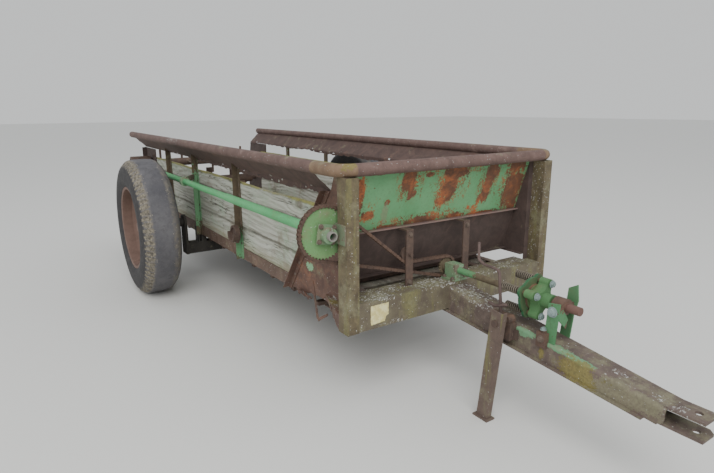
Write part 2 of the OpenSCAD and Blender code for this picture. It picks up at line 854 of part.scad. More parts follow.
module axle() {
    half = 45;
    placed() color("dimgray") {
        block([-axle_plate_x, axle_plate_x], [axle_y - half, axle_y + half], axle_beam);
        both_sides() {
            block([-axle_plate_x - 20, -axle_plate_x], [axle_y - 60, axle_y + 60],
                [axle_beam[0], tyre_r]);
            rod_x([-axle_plate_x - 20, -axle_plate_x], axle_y, tyre_r, 60);
            rod_x([-wheel_half - 48, -axle_plate_x - 20], axle_y, tyre_r, spindle_r);
            rod_x([-wheel_half + hub_in + 2, -axle_plate_x - 20], axle_y, tyre_r, spindle_r + 8);
            block([-box_half, -box_half + 40], [axle_y - half, axle_y + half],
                [axle_beam[1], sill_z]);
            yz_plate(-axle_plate_x + 90, 10) polygon([
                [axle_y - 45, axle_beam[1]], [axle_y + 45, axle_beam[1]],
                [axle_y + 45, sill_z + 60], [axle_y - 45, sill_z + 60]]);
        }
    }
}

// Tyre section: [distance from the middle plane, radius], the rim side first
module tyre_outline() {
    h = tyre_w / 2;
    bead = rim_r - 14;
    seat_z = rim_r + seat;
    polygon([
        [-h + 30.5, bead], [-h + 24.5, seat_z], [-h, rim_r + 82], [-h + 22, tyre_r - 38],
        [-h + 60, tyre_r - 6], [0, tyre_r], [h - 60, tyre_r - 6], [h - 22, tyre_r - 38],
        [h, rim_r + 82], [h - 24.5, seat_z], [h - 30.5, bead], [h - 40, bead + 14],
        [h - 24, rim_r + 90], [0, tyre_r - 34], [-h + 24, rim_r + 90], [-h + 40, bead + 14]]);
}

module wheel_turn(side) {
    placed() translate([side * wheel_half, axle_y, tyre_r]) rotate([0, side * 90, 0]) children();
}

module tyre(side) {
    color("dimgray") wheel_turn(side) rotate_extrude($fn = 72)
        rotate(90) mirror([0, 1]) tyre_outline();
}

// Rim and dished disc: [radius, distance outwards from the middle plane]
module rim_outline() {
    h = tyre_w / 2 - 18;
    t = 6;
    polygon([
        [rim_r, h], [rim_r, h - t], [rim_r - 14 - seat, h - 12], [rim_r - 15, 44],
        [rim_r - 50, 20], [rim_r - 50, -62], [rim_r - 15, -86], [rim_r - 14 - seat, -h + 12],
        [rim_r, -h + t], [rim_r, -h], [rim_r - 20, -h + 4], [rim_r - 21, -91],
        [rim_r - 56, -66], [rim_r - 56, -48], [150, -88], [90, -88], [90, -94],
        [60, -94], [60, -80], [148, -80], [rim_r - 56, -40], [rim_r - 56, 24],
        [rim_r - 21, 49], [rim_r - 20, h - 4]]);
}

module rim(side) {
    color("sienna") wheel_turn(side) difference() {
        union() {
            rotate_extrude($fn = 72) rim_outline();
            translate([0, 0, -hub_in]) cylinder(r = 66, h = 60);
            translate([0, 0, -70]) cylinder(r = 48, h = 70 + hub_out - 20);
            cylinder(r = 34, h = hub_out);
        }
        translate([0, 0, -hub_in - 1]) cylinder(r = spindle_r + fit, h = hub_in + 51);
    }
}

module tyre_right() {
    tyre(-1);
}

module rim_right() {
    rim(-1);
}

module tyre_left() {
    tyre(1);
}

module rim_left() {
    rim(1);
}

// Side shaft

side_r = side_d / 2;
side_step = 1330;
side_rear_r = side_r - 3;
gearbox_y = rear_y - 373;
gearbox_half = 80;
bearing_y = [48, 90];

module side_shaft() {
    tip_y = 25;
    placed() color("lightgreen") difference() {
        union() {
            rod_y(-side_x, [tip_y, side_step], side_z, side_r - 3);
            rod_y(-side_x, [bearing_y[1] + 3, side_step], side_z, side_r);
            rod_y(-side_x, [side_step, gearbox_y - gearbox_half + 30], side_z, side_rear_r);
        }
        rod_y(-side_x, [tip_y - 1, tip_y + 60], side_z, side_r - 8);
    }
}

module drive_sprocket() {
    placed() color("seagreen") difference() {
        union() {
            translate([-side_x, chain_y + 4, side_z]) rotate([90, 0, 0]) linear_extrude(8)
                sprocket(side_teeth);
            rod_y(-side_x, [chain_y - 10, chain_y + 40], side_z, side_r + 14);
        }
        rod_y(-side_x, [chain_y - 30, chain_y + 60], side_z, side_r);
    }
}

module hanger(y) {
    arm_z = [side_z - 8, side_z + 32];
    ring = side_rear_r + 14;
    leg_y = stake_y[1] + stake_w - steel_t;
    difference() {
        union() {
            rod_y(-side_x, [y - 18, y + 18], side_z, ring);
            translate([0, 0, arm_z[0]]) linear_extrude(arm_z[1] - arm_z[0]) polygon([
                [-side_x, y - 10], [-side_x, y + 2], [-box_half - stake_w, leg_y],
                [-box_half - stake_w + 10, leg_y], [-box_half - stake_w + 10, leg_y - 12]]);
        }
        rod_y(-side_x, [y - 60, y + 60], side_z, side_rear_r + fit);
    }
}

module shaft_hangers() {
    flange = 46;
    placed() color("olive") {
        hanger(stake_y[1] - 130);
        // Front bearing on a bracket from the right post
        difference() {
            union() {
                translate([-side_x, 0, side_z]) rotate([0, 9, 0])
                    block([-flange, flange], [bearing_y[1] - 8, bearing_y[1]], [-flange, flange]);
                block([-post_x1 - 8, -post_x1], [6, bearing_y[1]],
                    [side_z - flange, side_z + flange]);
                rod_y(-side_x, bearing_y, side_z, 36);
            }
            rod_y(-side_x, [0, 120], side_z, side_r - 3 + fit);
        }
    }
}

// Beaters at the rear

upper_y = gearbox_y;
upper_z = side_z;
main_y = rear_y - 193;
main_z = 640;
beater_r = beater_shaft_d / 2;
beater_half = box_half - 55;

rear_low = 540;
rear_mid = 700;
rear_high = 1010;
rear_step = 90;

module rear_plate(bearing) {
    t = 6;
    outer = box_half + t;
    difference() {
        union() {
            yz_plate(-outer, t) polygon([
                [rear_plate_y0, sill_z], [rear_plate_y1 - 60, sill_z], [rear_plate_y1, rear_low],
                [rear_plate_y1, rear_mid], [rear_plate_y1 - rear_step, rear_high],
                [rear_plate_y1 - rear_step, fold_z - seat - 8], [rear_plate_y0, fold_z - seat - 8]]);
            for (c = [[upper_y, upper_z], [main_y, main_z]])
                rod_x([-outer - 24, -outer], c[0], c[1], 52);
            yz_plate(-outer - stake_w, stake_w) polygon([
                [rear_plate_y1 - 150, sill_z], [rear_plate_y1 - 142, sill_z],
                [rear_plate_y1 - 142, fold_z - seat - 8], [rear_plate_y1 - 150, fold_z - seat - 8]]);
        }
        for (c = [[upper_y, upper_z], [main_y, main_z]])
            rod_x([-outer - 60, -outer + 60], c[0], c[1], bearing);
    }
}

module rear_plate_right() {
    placed() color("#3c3030") rear_plate(beater_r + fit);
}

module rear_plate_left() {
    placed() color("#3c3030") mirror([1, 0, 0]) rear_plate(beater_r + fit);
}

module rear_gearbox() {
    half = gearbox_half;
    placed() color("darkseagreen") difference() {
        union() {
            rod_y(-side_x, [gearbox_y - half, gearbox_y + 40], side_z, 58);
            rod_x([-side_x - 60, -box_half - 30], gearbox_y, side_z, 78);
        }
        rod_y(-side_x, [gearbox_y - half - 1, gearbox_y - half + 40], side_z, side_rear_r + fit);
        rod_x([-side_x + 10, -box_half], gearbox_y, side_z, beater_r + fit);
    }
}

beater_loop_x = box_half + 66;
beater_teeth = 14;

module beater_sprocket(y, z) {
    placed() translate([beater_loop_x - 4, y, z]) rotate([90, 0, 90]) {
        linear_extrude(8) sprocket(beater_teeth);
        cylinder(r = beater_r + 6, h = 24);
    }
}

// A paddle or tooth every few degrees round the shaft, as [count, turn per step, width]
upper_rows = [20, 90, 22];
main_rows = [12, 120, 70];

module beater(y, z, r, core, rows, x_ends) {
    placed() {
        rod_x(x_ends, y, z, beater_r);
        rod_x([-beater_half, beater_half], y, z, core);
        reach = beater_half - rows[2] / 2 - 12;
        for (i = [0 : rows[0] - 1])
            translate([reach * (2 * i / (rows[0] - 1) - 1), y, z])
                rotate([i * rows[1], 0, 0])
                    translate([-rows[2] / 2, -4, core / 2]) cube([rows[2], 8, r - core / 2]);
    }
}

module main_beater() {
    color("saddlebrown") {
        beater(main_y, main_z, main_r, 50, main_rows, [-box_half - 30, beater_loop_x + 30]);
        beater_sprocket(main_y, main_z);
    }
}

module upper_beater() {
    color("saddlebrown") {
        beater(upper_y, upper_z, upper_r, 40, upper_rows, [-side_x + 40, beater_loop_x + 30]);
        beater_sprocket(upper_y, upper_z);
    }
}

// The chain that ties the two beaters on the left side
module beater_chain() {
    r = pitch_r(beater_teeth);
    loop = [[[main_y, main_z], r], [[upper_y, upper_z], r]];
    placed() color("#5a3a2c") mirror([1, 0, 0]) {
        yz_plate(-beater_loop_x - chain_w / 2, chain_w) loop_band(loop, roller_d / 2);
        for (x = [-chain_w / 2 - plate_t, chain_w / 2])
            yz_plate(-beater_loop_x + x, plate_t) loop_links(loop, chain_pitch, 0, [16, link_h]);
    }
}

// Apron: two chains with slats, running over the floor and back under it

apron_r = 54;
apron_half = 420;
apron_front = 270;
apron_rear = rear_y - 533;
slat_h = 22;
band = 8;
apron_z = floor_z + band / 2 + 1 - apron_r;
apron_loop = [[[apron_rear, apron_z], apron_r], [[apron_front, apron_z], apron_r]];

// One chain as two straight runs and the bends round the wheels at both ends
module apron_chain() {
    for (run = [-1, 1]) {
        translate([apron_front + seat, apron_z + run * apron_r - band / 2])
            square([apron_rear - apron_front - 2 * seat, band]);
        translate([run < 0 ? apron_front : apron_rear, apron_z]) difference() {
            circle(r = apron_r + band / 2);
            circle(r = apron_r - band / 2);
            translate([-run * 2 * apron_r, 0]) square(4 * apron_r, center = true);
        }
    }
}

module apron_chains() {
    parts = loop_parts(apron_loop);
    length = total(parts);
    count = round(length / slat_pitch);
    slat_half = box_half - board_t - 22;
    placed() color("#6b4a38") {
        for (side = [-1, 1])
            yz_plate(side * apron_half - 18, 36) apron_chain();
        yz_plate(-slat_half, 2 * slat_half)
            for (i = [0 : count - 1]) {
                at = loop_at(parts, (i + 0.5) * length / count);
                translate(at[0]) rotate(at[1]) translate([-19, -slat_h - band / 2 - seat])
                    square([38, slat_h]);
            }
    }
}

module apron_shafts() {
    wheel = apron_r - band / 2 - tip_gap;
    placed() color("dimgray") for (y = [apron_front, apron_rear]) {
        rod_x([-box_half + steel_t, box_half - steel_t], y, apron_z, 17);
        for (side = [-1, 1])
            rod_x([side * apron_half - 14, side * apron_half + 14], y, apron_z, wheel);
    }
}

// The broken casting on the first right stake
module side_bracket() {
    y = stake_y[0] + 20;
    placed() color("#4a3028") difference() {
        union() {
            block([-box_half - 60, -box_half - stake_w], [y - 50, y + 20], [548, 640]);
            rod_x([-box_half - 90, -box_half - stake_w], y - 20, 610, 58);
        }
        rod_x([-box_half - 91, -box_half - 60], y - 20, 610, 42);
        block([-box_half - 91, -box_half - 70], [y - 100, y + 100], [620, 700]);
    }
}

sills();
front_beam();
cross_members();
floor_boards();
front_posts();
upper_panel();
lower_panel();
end_sheet_right();
end_sheet_left();
side_boards_right();
side_boards_left();
stakes_right();
stakes_left();
flare_right();
flare_left();
top_rail();
rail_elbows();
tongue();
pto_stand();
root_bearing();
panel_straps();
drive_chain();
control_rod();
jack_bracket();
axle();
apron_chains();
apron_shafts();
rear_plate_right();
rear_plate_left();
shaft_hangers();
rear_gearbox();
beater_chain();
side_bracket();
tyre_right();
rim_right();
tyre_left();
rim_left();
side_shaft();
drive_sprocket();
pto_shaft();
slip_clutch();
clutch_springs();
main_beater();
upper_beater();
jack_leg();
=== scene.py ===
import math

import bpy
from mathutils import Matrix, Vector, noise


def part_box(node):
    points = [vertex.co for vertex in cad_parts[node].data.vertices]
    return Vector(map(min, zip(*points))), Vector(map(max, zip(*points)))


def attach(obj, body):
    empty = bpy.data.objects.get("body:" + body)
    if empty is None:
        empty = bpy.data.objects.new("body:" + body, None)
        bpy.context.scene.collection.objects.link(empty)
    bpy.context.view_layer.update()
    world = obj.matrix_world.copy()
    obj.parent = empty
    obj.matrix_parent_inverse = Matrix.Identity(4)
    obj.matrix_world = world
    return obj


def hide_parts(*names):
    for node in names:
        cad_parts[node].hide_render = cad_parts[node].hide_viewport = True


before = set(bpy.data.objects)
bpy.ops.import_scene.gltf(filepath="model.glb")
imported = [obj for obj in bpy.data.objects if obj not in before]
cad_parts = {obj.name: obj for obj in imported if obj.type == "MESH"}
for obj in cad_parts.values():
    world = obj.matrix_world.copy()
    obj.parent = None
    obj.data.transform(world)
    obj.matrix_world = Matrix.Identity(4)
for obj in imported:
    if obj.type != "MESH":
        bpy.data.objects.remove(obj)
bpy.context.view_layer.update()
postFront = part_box("front_posts")[0].y
tau = 2 * math.pi


def at(x, y, z):                         # a place whose length is counted from the posts' front
    return Vector((x, y + postFront, z))


def polar(radius, angle):
    return radius * math.cos(angle), radius * math.sin(angle)


def clamped(value):
    return max(0.0, min(1.0, value))


def ripple(x, y, z):
    return noise.noise(Vector((x, y, z)))


camera = {"place": (-1.9276, -1.9208, 1.4432), "yaw": -0.5884, "pitch": -0.238, "roll": -0.0046,
          "focal": 532.1, "imageWidth": 714, "sensor": 36, "sees": 200}


def makeCamera():
    data = bpy.data.cameras.new("camera")
    data.sensor_width = camera["sensor"]
    data.lens = camera["sensor"] * camera["focal"] / camera["imageWidth"]
    data.clip_end = camera["sees"]
    eye = bpy.data.objects.new("camera", data)
    turn = Matrix.Rotation(camera["yaw"], 4, "Z") @ Matrix.Rotation(math.pi / 2 + camera["pitch"], 4, "X")
    place = Matrix.Translation(at(*camera["place"]))
    eye.matrix_world = place @ turn @ Matrix.Rotation(camera["roll"], 4, "Z")
    bpy.context.scene.collection.objects.link(eye)
    bpy.context.scene.camera = eye


makeCamera()


class Wire:
    # A socket of a shader tree, so that sums can be written with it

    def __init__(self, tree, socket=None):
        self.tree = tree
        self.socket = socket

    def node(self, kind, settings=None, sockets=None, pick=0):
        made = self.tree.nodes.new("ShaderNode" + kind)
        for key, value in (settings or {}).items():
            setattr(made, key, value)
        for key, value in (sockets or {}).items():
            if isinstance(value, Wire):
                self.tree.links.new(value.socket, made.inputs[key])
            else:
                made.inputs[key].default_value = value
        return Wire(self.tree, made.outputs[pick])

    def maths(self, operation, *values):
        return self.node("Math", {"operation": operation}, dict(enumerate(values)))

    def __add__(self, other):
        return self.maths("ADD", self, other)

    def __radd__(self, other):
        return self.maths("ADD", other, self)

    def __sub__(self, other):
        return self.maths("SUBTRACT", self, other)

    def __rsub__(self, other):
        return self.maths("SUBTRACT", other, self)

    def __mul__(self, other):
        return self.maths("MULTIPLY", self, other)

    def __rmul__(self, other):
        return self.maths("MULTIPLY", other, self)

    def size(self):
        return self.maths("ABSOLUTE", self)

    def wave(self):                      # from 0 to 1 and back
        return self.maths("SINE", self) * 0.5 + 0.5

    def most(self, other):
        return self.maths("MAXIMUM", self, other)

    def step(self, low, high):           # 0 below low, 1 above high, smooth between
        return self.node("MapRange", {"interpolation_type": "SMOOTHSTEP"},
                         {"Value": self, "From Min": low, "From Max": high})

    def within(self, low, high, soft):   # 1 between low and high, smooth at both ends
        return self.step(low - soft, low + soft) * (1 - self.step(high - soft, high + soft))


def paint(red, green, blue):             # a colour as a picture editor gives it, for a shader
    shares = [c / 255 for c in (red, green, blue)]
    return (*[c / 12.92 if c < 0.04 else ((c + 0.055) / 1.055) ** 2.4 for c in shares], 1.0)


def blendColours(mask, low, high):
    wire = mask if isinstance(mask, Wire) else low
    return wire.node("Mix", {"data_type": "RGBA"}, {0: mask, 6: low, 7: high}, pick=2)


def shades(mask, low, high):             # the same between two plain colours
    return blendColours(mask, paint(*low), paint(*high))


def newMaterial(name):
    made = bpy.data.materials.new(name)
    made.use_nodes = True
    made.node_tree.nodes.clear()
    return made, Wire(made.node_tree).node("TexCoord", pick="Object")


def closeTree(shader, kind):
    out = shader.tree.nodes.new(kind)
    shader.tree.links.new(shader.socket, out.inputs["Surface"])


def closeMaterial(place, colour, roughness, height=None, bumpDepth=0.0, strength=0.0):
    sockets = {"Base Color": colour, "Roughness": roughness}
    if height is not None:
        sockets["Normal"] = place.node("Bump", {}, {"Strength": strength, "Distance": bumpDepth,
                                                    "Height": height})
    closeTree(place.node("BsdfPrincipled", {}, sockets), "ShaderNodeOutputMaterial")


def mapped(place, scale, shift=(0, 0, 0)):
    return place.node("Mapping", {}, {"Vector": place, "Location": shift, "Scale": scale})


def cloud(place, scale, detail=4.0, rough=0.6, warp=0.0):
    return place.node("TexNoise", {}, {"Vector": place, "Scale": scale, "Detail": detail,
                                       "Roughness": rough, "Distortion": warp})


def cells(place, scale, pick="Distance"):
    return place.node("TexVoronoi", {}, {"Vector": place, "Scale": scale}, pick=pick)


def spots(place, scale, size, share, seed):
    # round growths: a share of the cells holds one, edges broken by noise
    moved = mapped(place, (1, 1, 1), (seed, seed * 0.7, -seed))
    ragged = cloud(moved, scale * 2.2, 3.0) - 0.5
    distance = cells(moved, scale) + ragged * 0.45
    chosen = place.node("SeparateColor", {}, {0: cells(moved, scale, "Color")})
    return (1 - distance.step(size * 0.8, size)) * (1 - chosen.step(share - 0.02, share + 0.02))


def blob(place, centre, size, ragged):
    # a mark about one place, its edge broken by noise
    off = place.node("VectorMath", {"operation": "SUBTRACT"}, {0: place, 1: centre})
    scaled = place.node("VectorMath", {"operation": "DIVIDE"}, {0: off, 1: size})
    reach = place.node("VectorMath", {"operation": "LENGTH"}, {0: scaled}, pick="Value")
    return 1 - (reach + ragged).step(0.93, 1.0)


def coordinate(place, axis):
    found = place.node("SeparateXYZ", {}, {0: place}, pick="xyz".index(axis))
    return found - postFront if axis == "y" else found


growth = {      # two shades of each
    "streak": [(98, 96, 62), (122, 118, 72)], "film": [(110, 106, 84), (136, 134, 104)],
    "yellow": [(104, 96, 44), (134, 122, 66)], "crumb": [(160, 160, 152), (208, 208, 204)],
    "algae": [(136, 158, 132), (176, 190, 166)], "moss": [(104, 102, 40), (148, 142, 66)]}
pitShade = (0.01, 0.008, 0.006, 1)


class Ground:
    # the noises of one steel look, shared by its rust, its paint and what grows on it

    def __init__(self, place, look):
        seed = look["seed"]
        self.place = place
        self.look = look
        self.moved = mapped(place, (1, 1, 1), (seed, seed * 1.3, seed * 0.6))
        self.broad = cloud(self.moved, 3.0, 5.0, 0.62, 0.3)
        self.middle = cloud(self.moved, 14.0, 6.0, 0.65, 0.6)
        self.fine = cloud(self.moved, 90.0, 4.0, 0.7)
        self.pits = cloud(self.moved, 320.0, 2.0, 0.6)
        self.drips = cloud(mapped(self.moved, (1, 1, 0.14)), 42.0, 4.0, 0.6)
        ragged = (self.middle - 0.5) * 2.2 + (self.fine - 0.5) * 2.0
        self.ragged = ragged + (self.drips - 0.5) * look.get("drips", 0.0)

    def marked(self, kind):
        found = 0.0
        for x, y, z, *size in self.look.get("marks", {}).get(kind, []):
            found = blob(self.place, at(x, y, z), size, self.ragged).most(found)
        return found

    def zone(self, axis, low, high):
        return coordinate(self.place, axis).within(low, high, 0.002)


def rustColour(ground):
    look, middle, fine = ground.look, ground.middle, ground.fine
    dark, warm, bright = [paint(*c) for c in look["rust"]]
    colour = blendColours((middle * 0.6 + fine * 0.4).step(0.32, 0.68), dark, warm)
    glowFrom = look.get("brightFrom", 0.55)
    glow = (middle * 0.5 + ground.broad * 0.5).step(glowFrom, glowFrom + 0.17)
    colour = blendColours(glow * fine.step(0.3, 0.6), colour, bright)
    shadow = blendColours(0.55, colour, pitShade)
    colour = blendColours(fine.step(0.3, 0.75) * 0.3, colour, shadow)
    colour = blendColours(ground.pits.step(0.5, 0.72) * 0.45, colour, shadow)
    for *reach, shade in look.get("rustZones", []):
        colour = blendColours(ground.zone(*reach) * (0.6 + fine * 0.4), colour, paint(*shade))
    return colour


def paintColour(ground):
    look, middle, fine = ground.look, ground.middle, ground.fine
    fresh, faded, dirt = [paint(*c) for c in look["paint"]]
    colour = blendColours(ground.broad.step(0.3, 0.7), fresh, faded)
    for *reach, shade in look.get("paintZones", []):
        colour = blendColours(ground.zone(*reach), colour, paint(*shade))
    colour = blendColours(fine.step(0.45, 0.75) * 0.3, colour, dirt)
    colour = blendColours(middle.step(0.55, 0.75) * 0.25, colour, paint(*look["rust"][1]))
    return blendColours((ground.drips * 0.6 + fine * 0.4).step(0.54, 0.68) * 0.4, colour, dirt)


def bareSteel(ground):                   # 1 where the paint has gone
    look, middle, fine = ground.look, ground.middle, ground.fine
    edge = ground.broad * 0.45 + middle * 0.42 + fine * 0.13
    bare = edge.step(look["bareFrom"], look["bareFrom"] + 0.018)
    peel = ground.marked("peel") * (fine * 0.6 + middle * 0.4).step(0.5, 0.54)
    bare = bare.most(spots(ground.moved, 46.0, 0.2, 0.12, 2.0)).most(ground.marked("bare")).most(peel)
    for reach in look.get("bareZones", []):
        bare = bare.most(ground.zone(*reach))
    return bare * (1 - ground.marked("paint"))


def lichenFilm(ground, up):
    lichen = ground.look["lichen"]
    cover = cloud(mapped(ground.moved, (1, 1, 1), (7, 3, 1)), 9.0, 6.0, 0.7)
    film = cover + up * 0.06 + ground.middle * 0.15 - 0.08
    return film.step(0.62 - lichen * 0.25, 0.78 - lichen * 0.2).most(ground.marked("film"))


def paleCrumbs(ground, up):
    look, place = ground.look, ground.place
    groups = cloud(mapped(ground.moved, (1, 1, 1), (3, 8, 5)), 6.5, 5.0, 0.65)
    level = groups + up * 0.05 + ground.marked("crust") * 0.4
    if "crest" in look:                  # more of it along the upper edge
        base, slope, depth = look["crest"]
        line = coordinate(place, "z") - coordinate(place, "y") * slope - base
        level = level + line.step(-depth, 0.0) * 0.2
    crumbs = cloud(ground.moved, 130.0, 4.0, 0.7) * 0.75 + (1 - cells(ground.moved, 60.0)) * 0.25
    more = 0.3 * look.get("crust", 0.0)
    crust = (crumbs + level.step(0.86 - more, 1.0 - more) * 0.11).step(0.645, 0.69)
    fleck = spots(ground.moved, 95.0, 0.27, 0.16 * look["flecks"], 3.0) * groups.step(0.42, 0.55)
    return crust.most(fleck)


def steelMaterial(name, look):
    # rusted steel that may keep some of its paint, with lichen as a film, as crumbs and as flecks
    made, place = newMaterial(name)
    ground = Ground(place, look)
    fine = ground.fine
    up = place.node("SeparateXYZ", {}, {0: place.node("NewGeometry", pick="Normal")}, pick=2)
    colour = rustColour(ground)
    height = ground.middle * 0.3 + fine * 0.6 + ground.pits * 0.25
    roughness = 0.68 + fine * 0.25
    if "paint" in look:
        bare = bareSteel(ground)
        colour = blendColours(bare, paintColour(ground), colour)
        height = height * bare * 0.8 + (1 - bare) * 0.8 + fine * 0.05
        roughness = roughness * bare + (1 - bare) * (0.6 + fine * 0.3)
    if "streaks" in look:                # old paint and algae run down in strips
        run = cloud(mapped(ground.moved, (1, 1, 0.09)), 26.0, 4.0, 0.6)
        strength = (run * 0.7 + ground.broad * 0.3).step(0.5, 0.6) * look["streaks"]
        colour = blendColours(strength, colour, shades(fine.step(0.35, 0.65), *growth["streak"]))
    if "lichen" in look:
        film = lichenFilm(ground, up)
        colour = blendColours(film * 0.6, colour, shades(fine.step(0.3, 0.7), *growth["film"]))
        height = height + film * fine * 0.4
    yellow = ground.marked("yellow")
    if isinstance(yellow, Wire):
        colour = blendColours(yellow * (0.55 + fine * 0.4), colour,
                              shades(fine.step(0.35, 0.65), *growth["yellow"]))
    if "flecks" in look:
        pale = paleCrumbs(ground, up)
        colour = blendColours(pale * 0.85, colour, shades(fine.step(0.35, 0.65), *growth["crumb"]))
        height = height + pale * 0.5
        roughness = roughness.most(pale * 0.95)
    closeMaterial(place, colour, roughness, height, look.get("depth", 0.0012), 0.7)
    return made


# Marks are rows of place and reach in x, y and z, zones are an axis with its two ends
panelRows = {   # across, height, and the reach both ways
    "bare": [(-0.273, 1.1, 0.04, 0.07), (-0.25, 1.03, 0.02, 0.04), (0.04, 1.115, 0.09, 0.03),
             (0.01, 1.05, 0.055, 0.085), (-0.03, 0.965, 0.04, 0.05), (0.31, 1.09, 0.05, 0.05),
             (0.3, 1.0, 0.035, 0.075), (0.26, 0.94, 0.02, 0.04), (0.53, 1.0, 0.075, 0.13),
             (0.5, 1.11, 0.08, 0.05), (0.55, 0.88, 0.06, 0.05), (-0.36, 0.862, 0.09, 0.014),
             (-0.12, 0.868, 0.13, 0.024), (0.1, 0.862, 0.07, 0.02), (0.3, 0.86, 0.12, 0.012),
             (-0.552, 1.06, 0.026, 0.09), (-0.49, 0.934, 0.035, 0.022), (-0.143, 1.114, 0.03, 0.014),
             (-0.222, 1.025, 0.012, 0.02), (-0.385, 0.992, 0.018, 0.016), (0.0, 1.141, 0.7, 0.006)],
    "film": [(-0.385, 0.93, 0.02, 0.06)],
    "peel": [(-0.26, 1.08, 0.11, 0.11), (0.02, 1.05, 0.16, 0.13), (0.3, 1.04, 0.1, 0.14),
             (0.5, 0.98, 0.14, 0.18), (-0.1, 0.885, 0.42, 0.035), (-0.5, 0.95, 0.07, 0.06),
             (0.1, 1.13, 0.5, 0.03)]}
panelMarks = {kind: [(x, 0, z, wide, 1, tall) for x, z, wide, tall in rows]
              for kind, rows in panelRows.items()}
tongueMarks = {
    "paint": [(-0.066, -0.66, 0.449, 0.022, 0.08, 0.02), (-0.064, -0.78, 0.434, 0.018, 0.1, 0.018),
              (-0.068, -0.49, 0.462, 0.014, 0.07, 0.022)],
    "yellow": [(-0.07, -0.77, 0.386, 0.02, 0.1, 0.055), (-0.07, -0.585, 0.392, 0.02, 0.014, 0.026)],
    "film": [(-0.07, -0.92, 0.37, 0.03, 0.2, 0.06)],
    "crust": [(0.0, -0.9, 0.416, 0.022, 0.035, 0.04), (-0.02, -1.07, 0.395, 0.018, 0.03, 0.03),
              (-0.03, -1.15, 0.385, 0.03, 0.03, 0.03), (0, -0.06, 0.53, 0.13, 0.2, 0.05),
              (-0.06, -0.25, 0.5, 0.03, 0.25, 0.02)]}

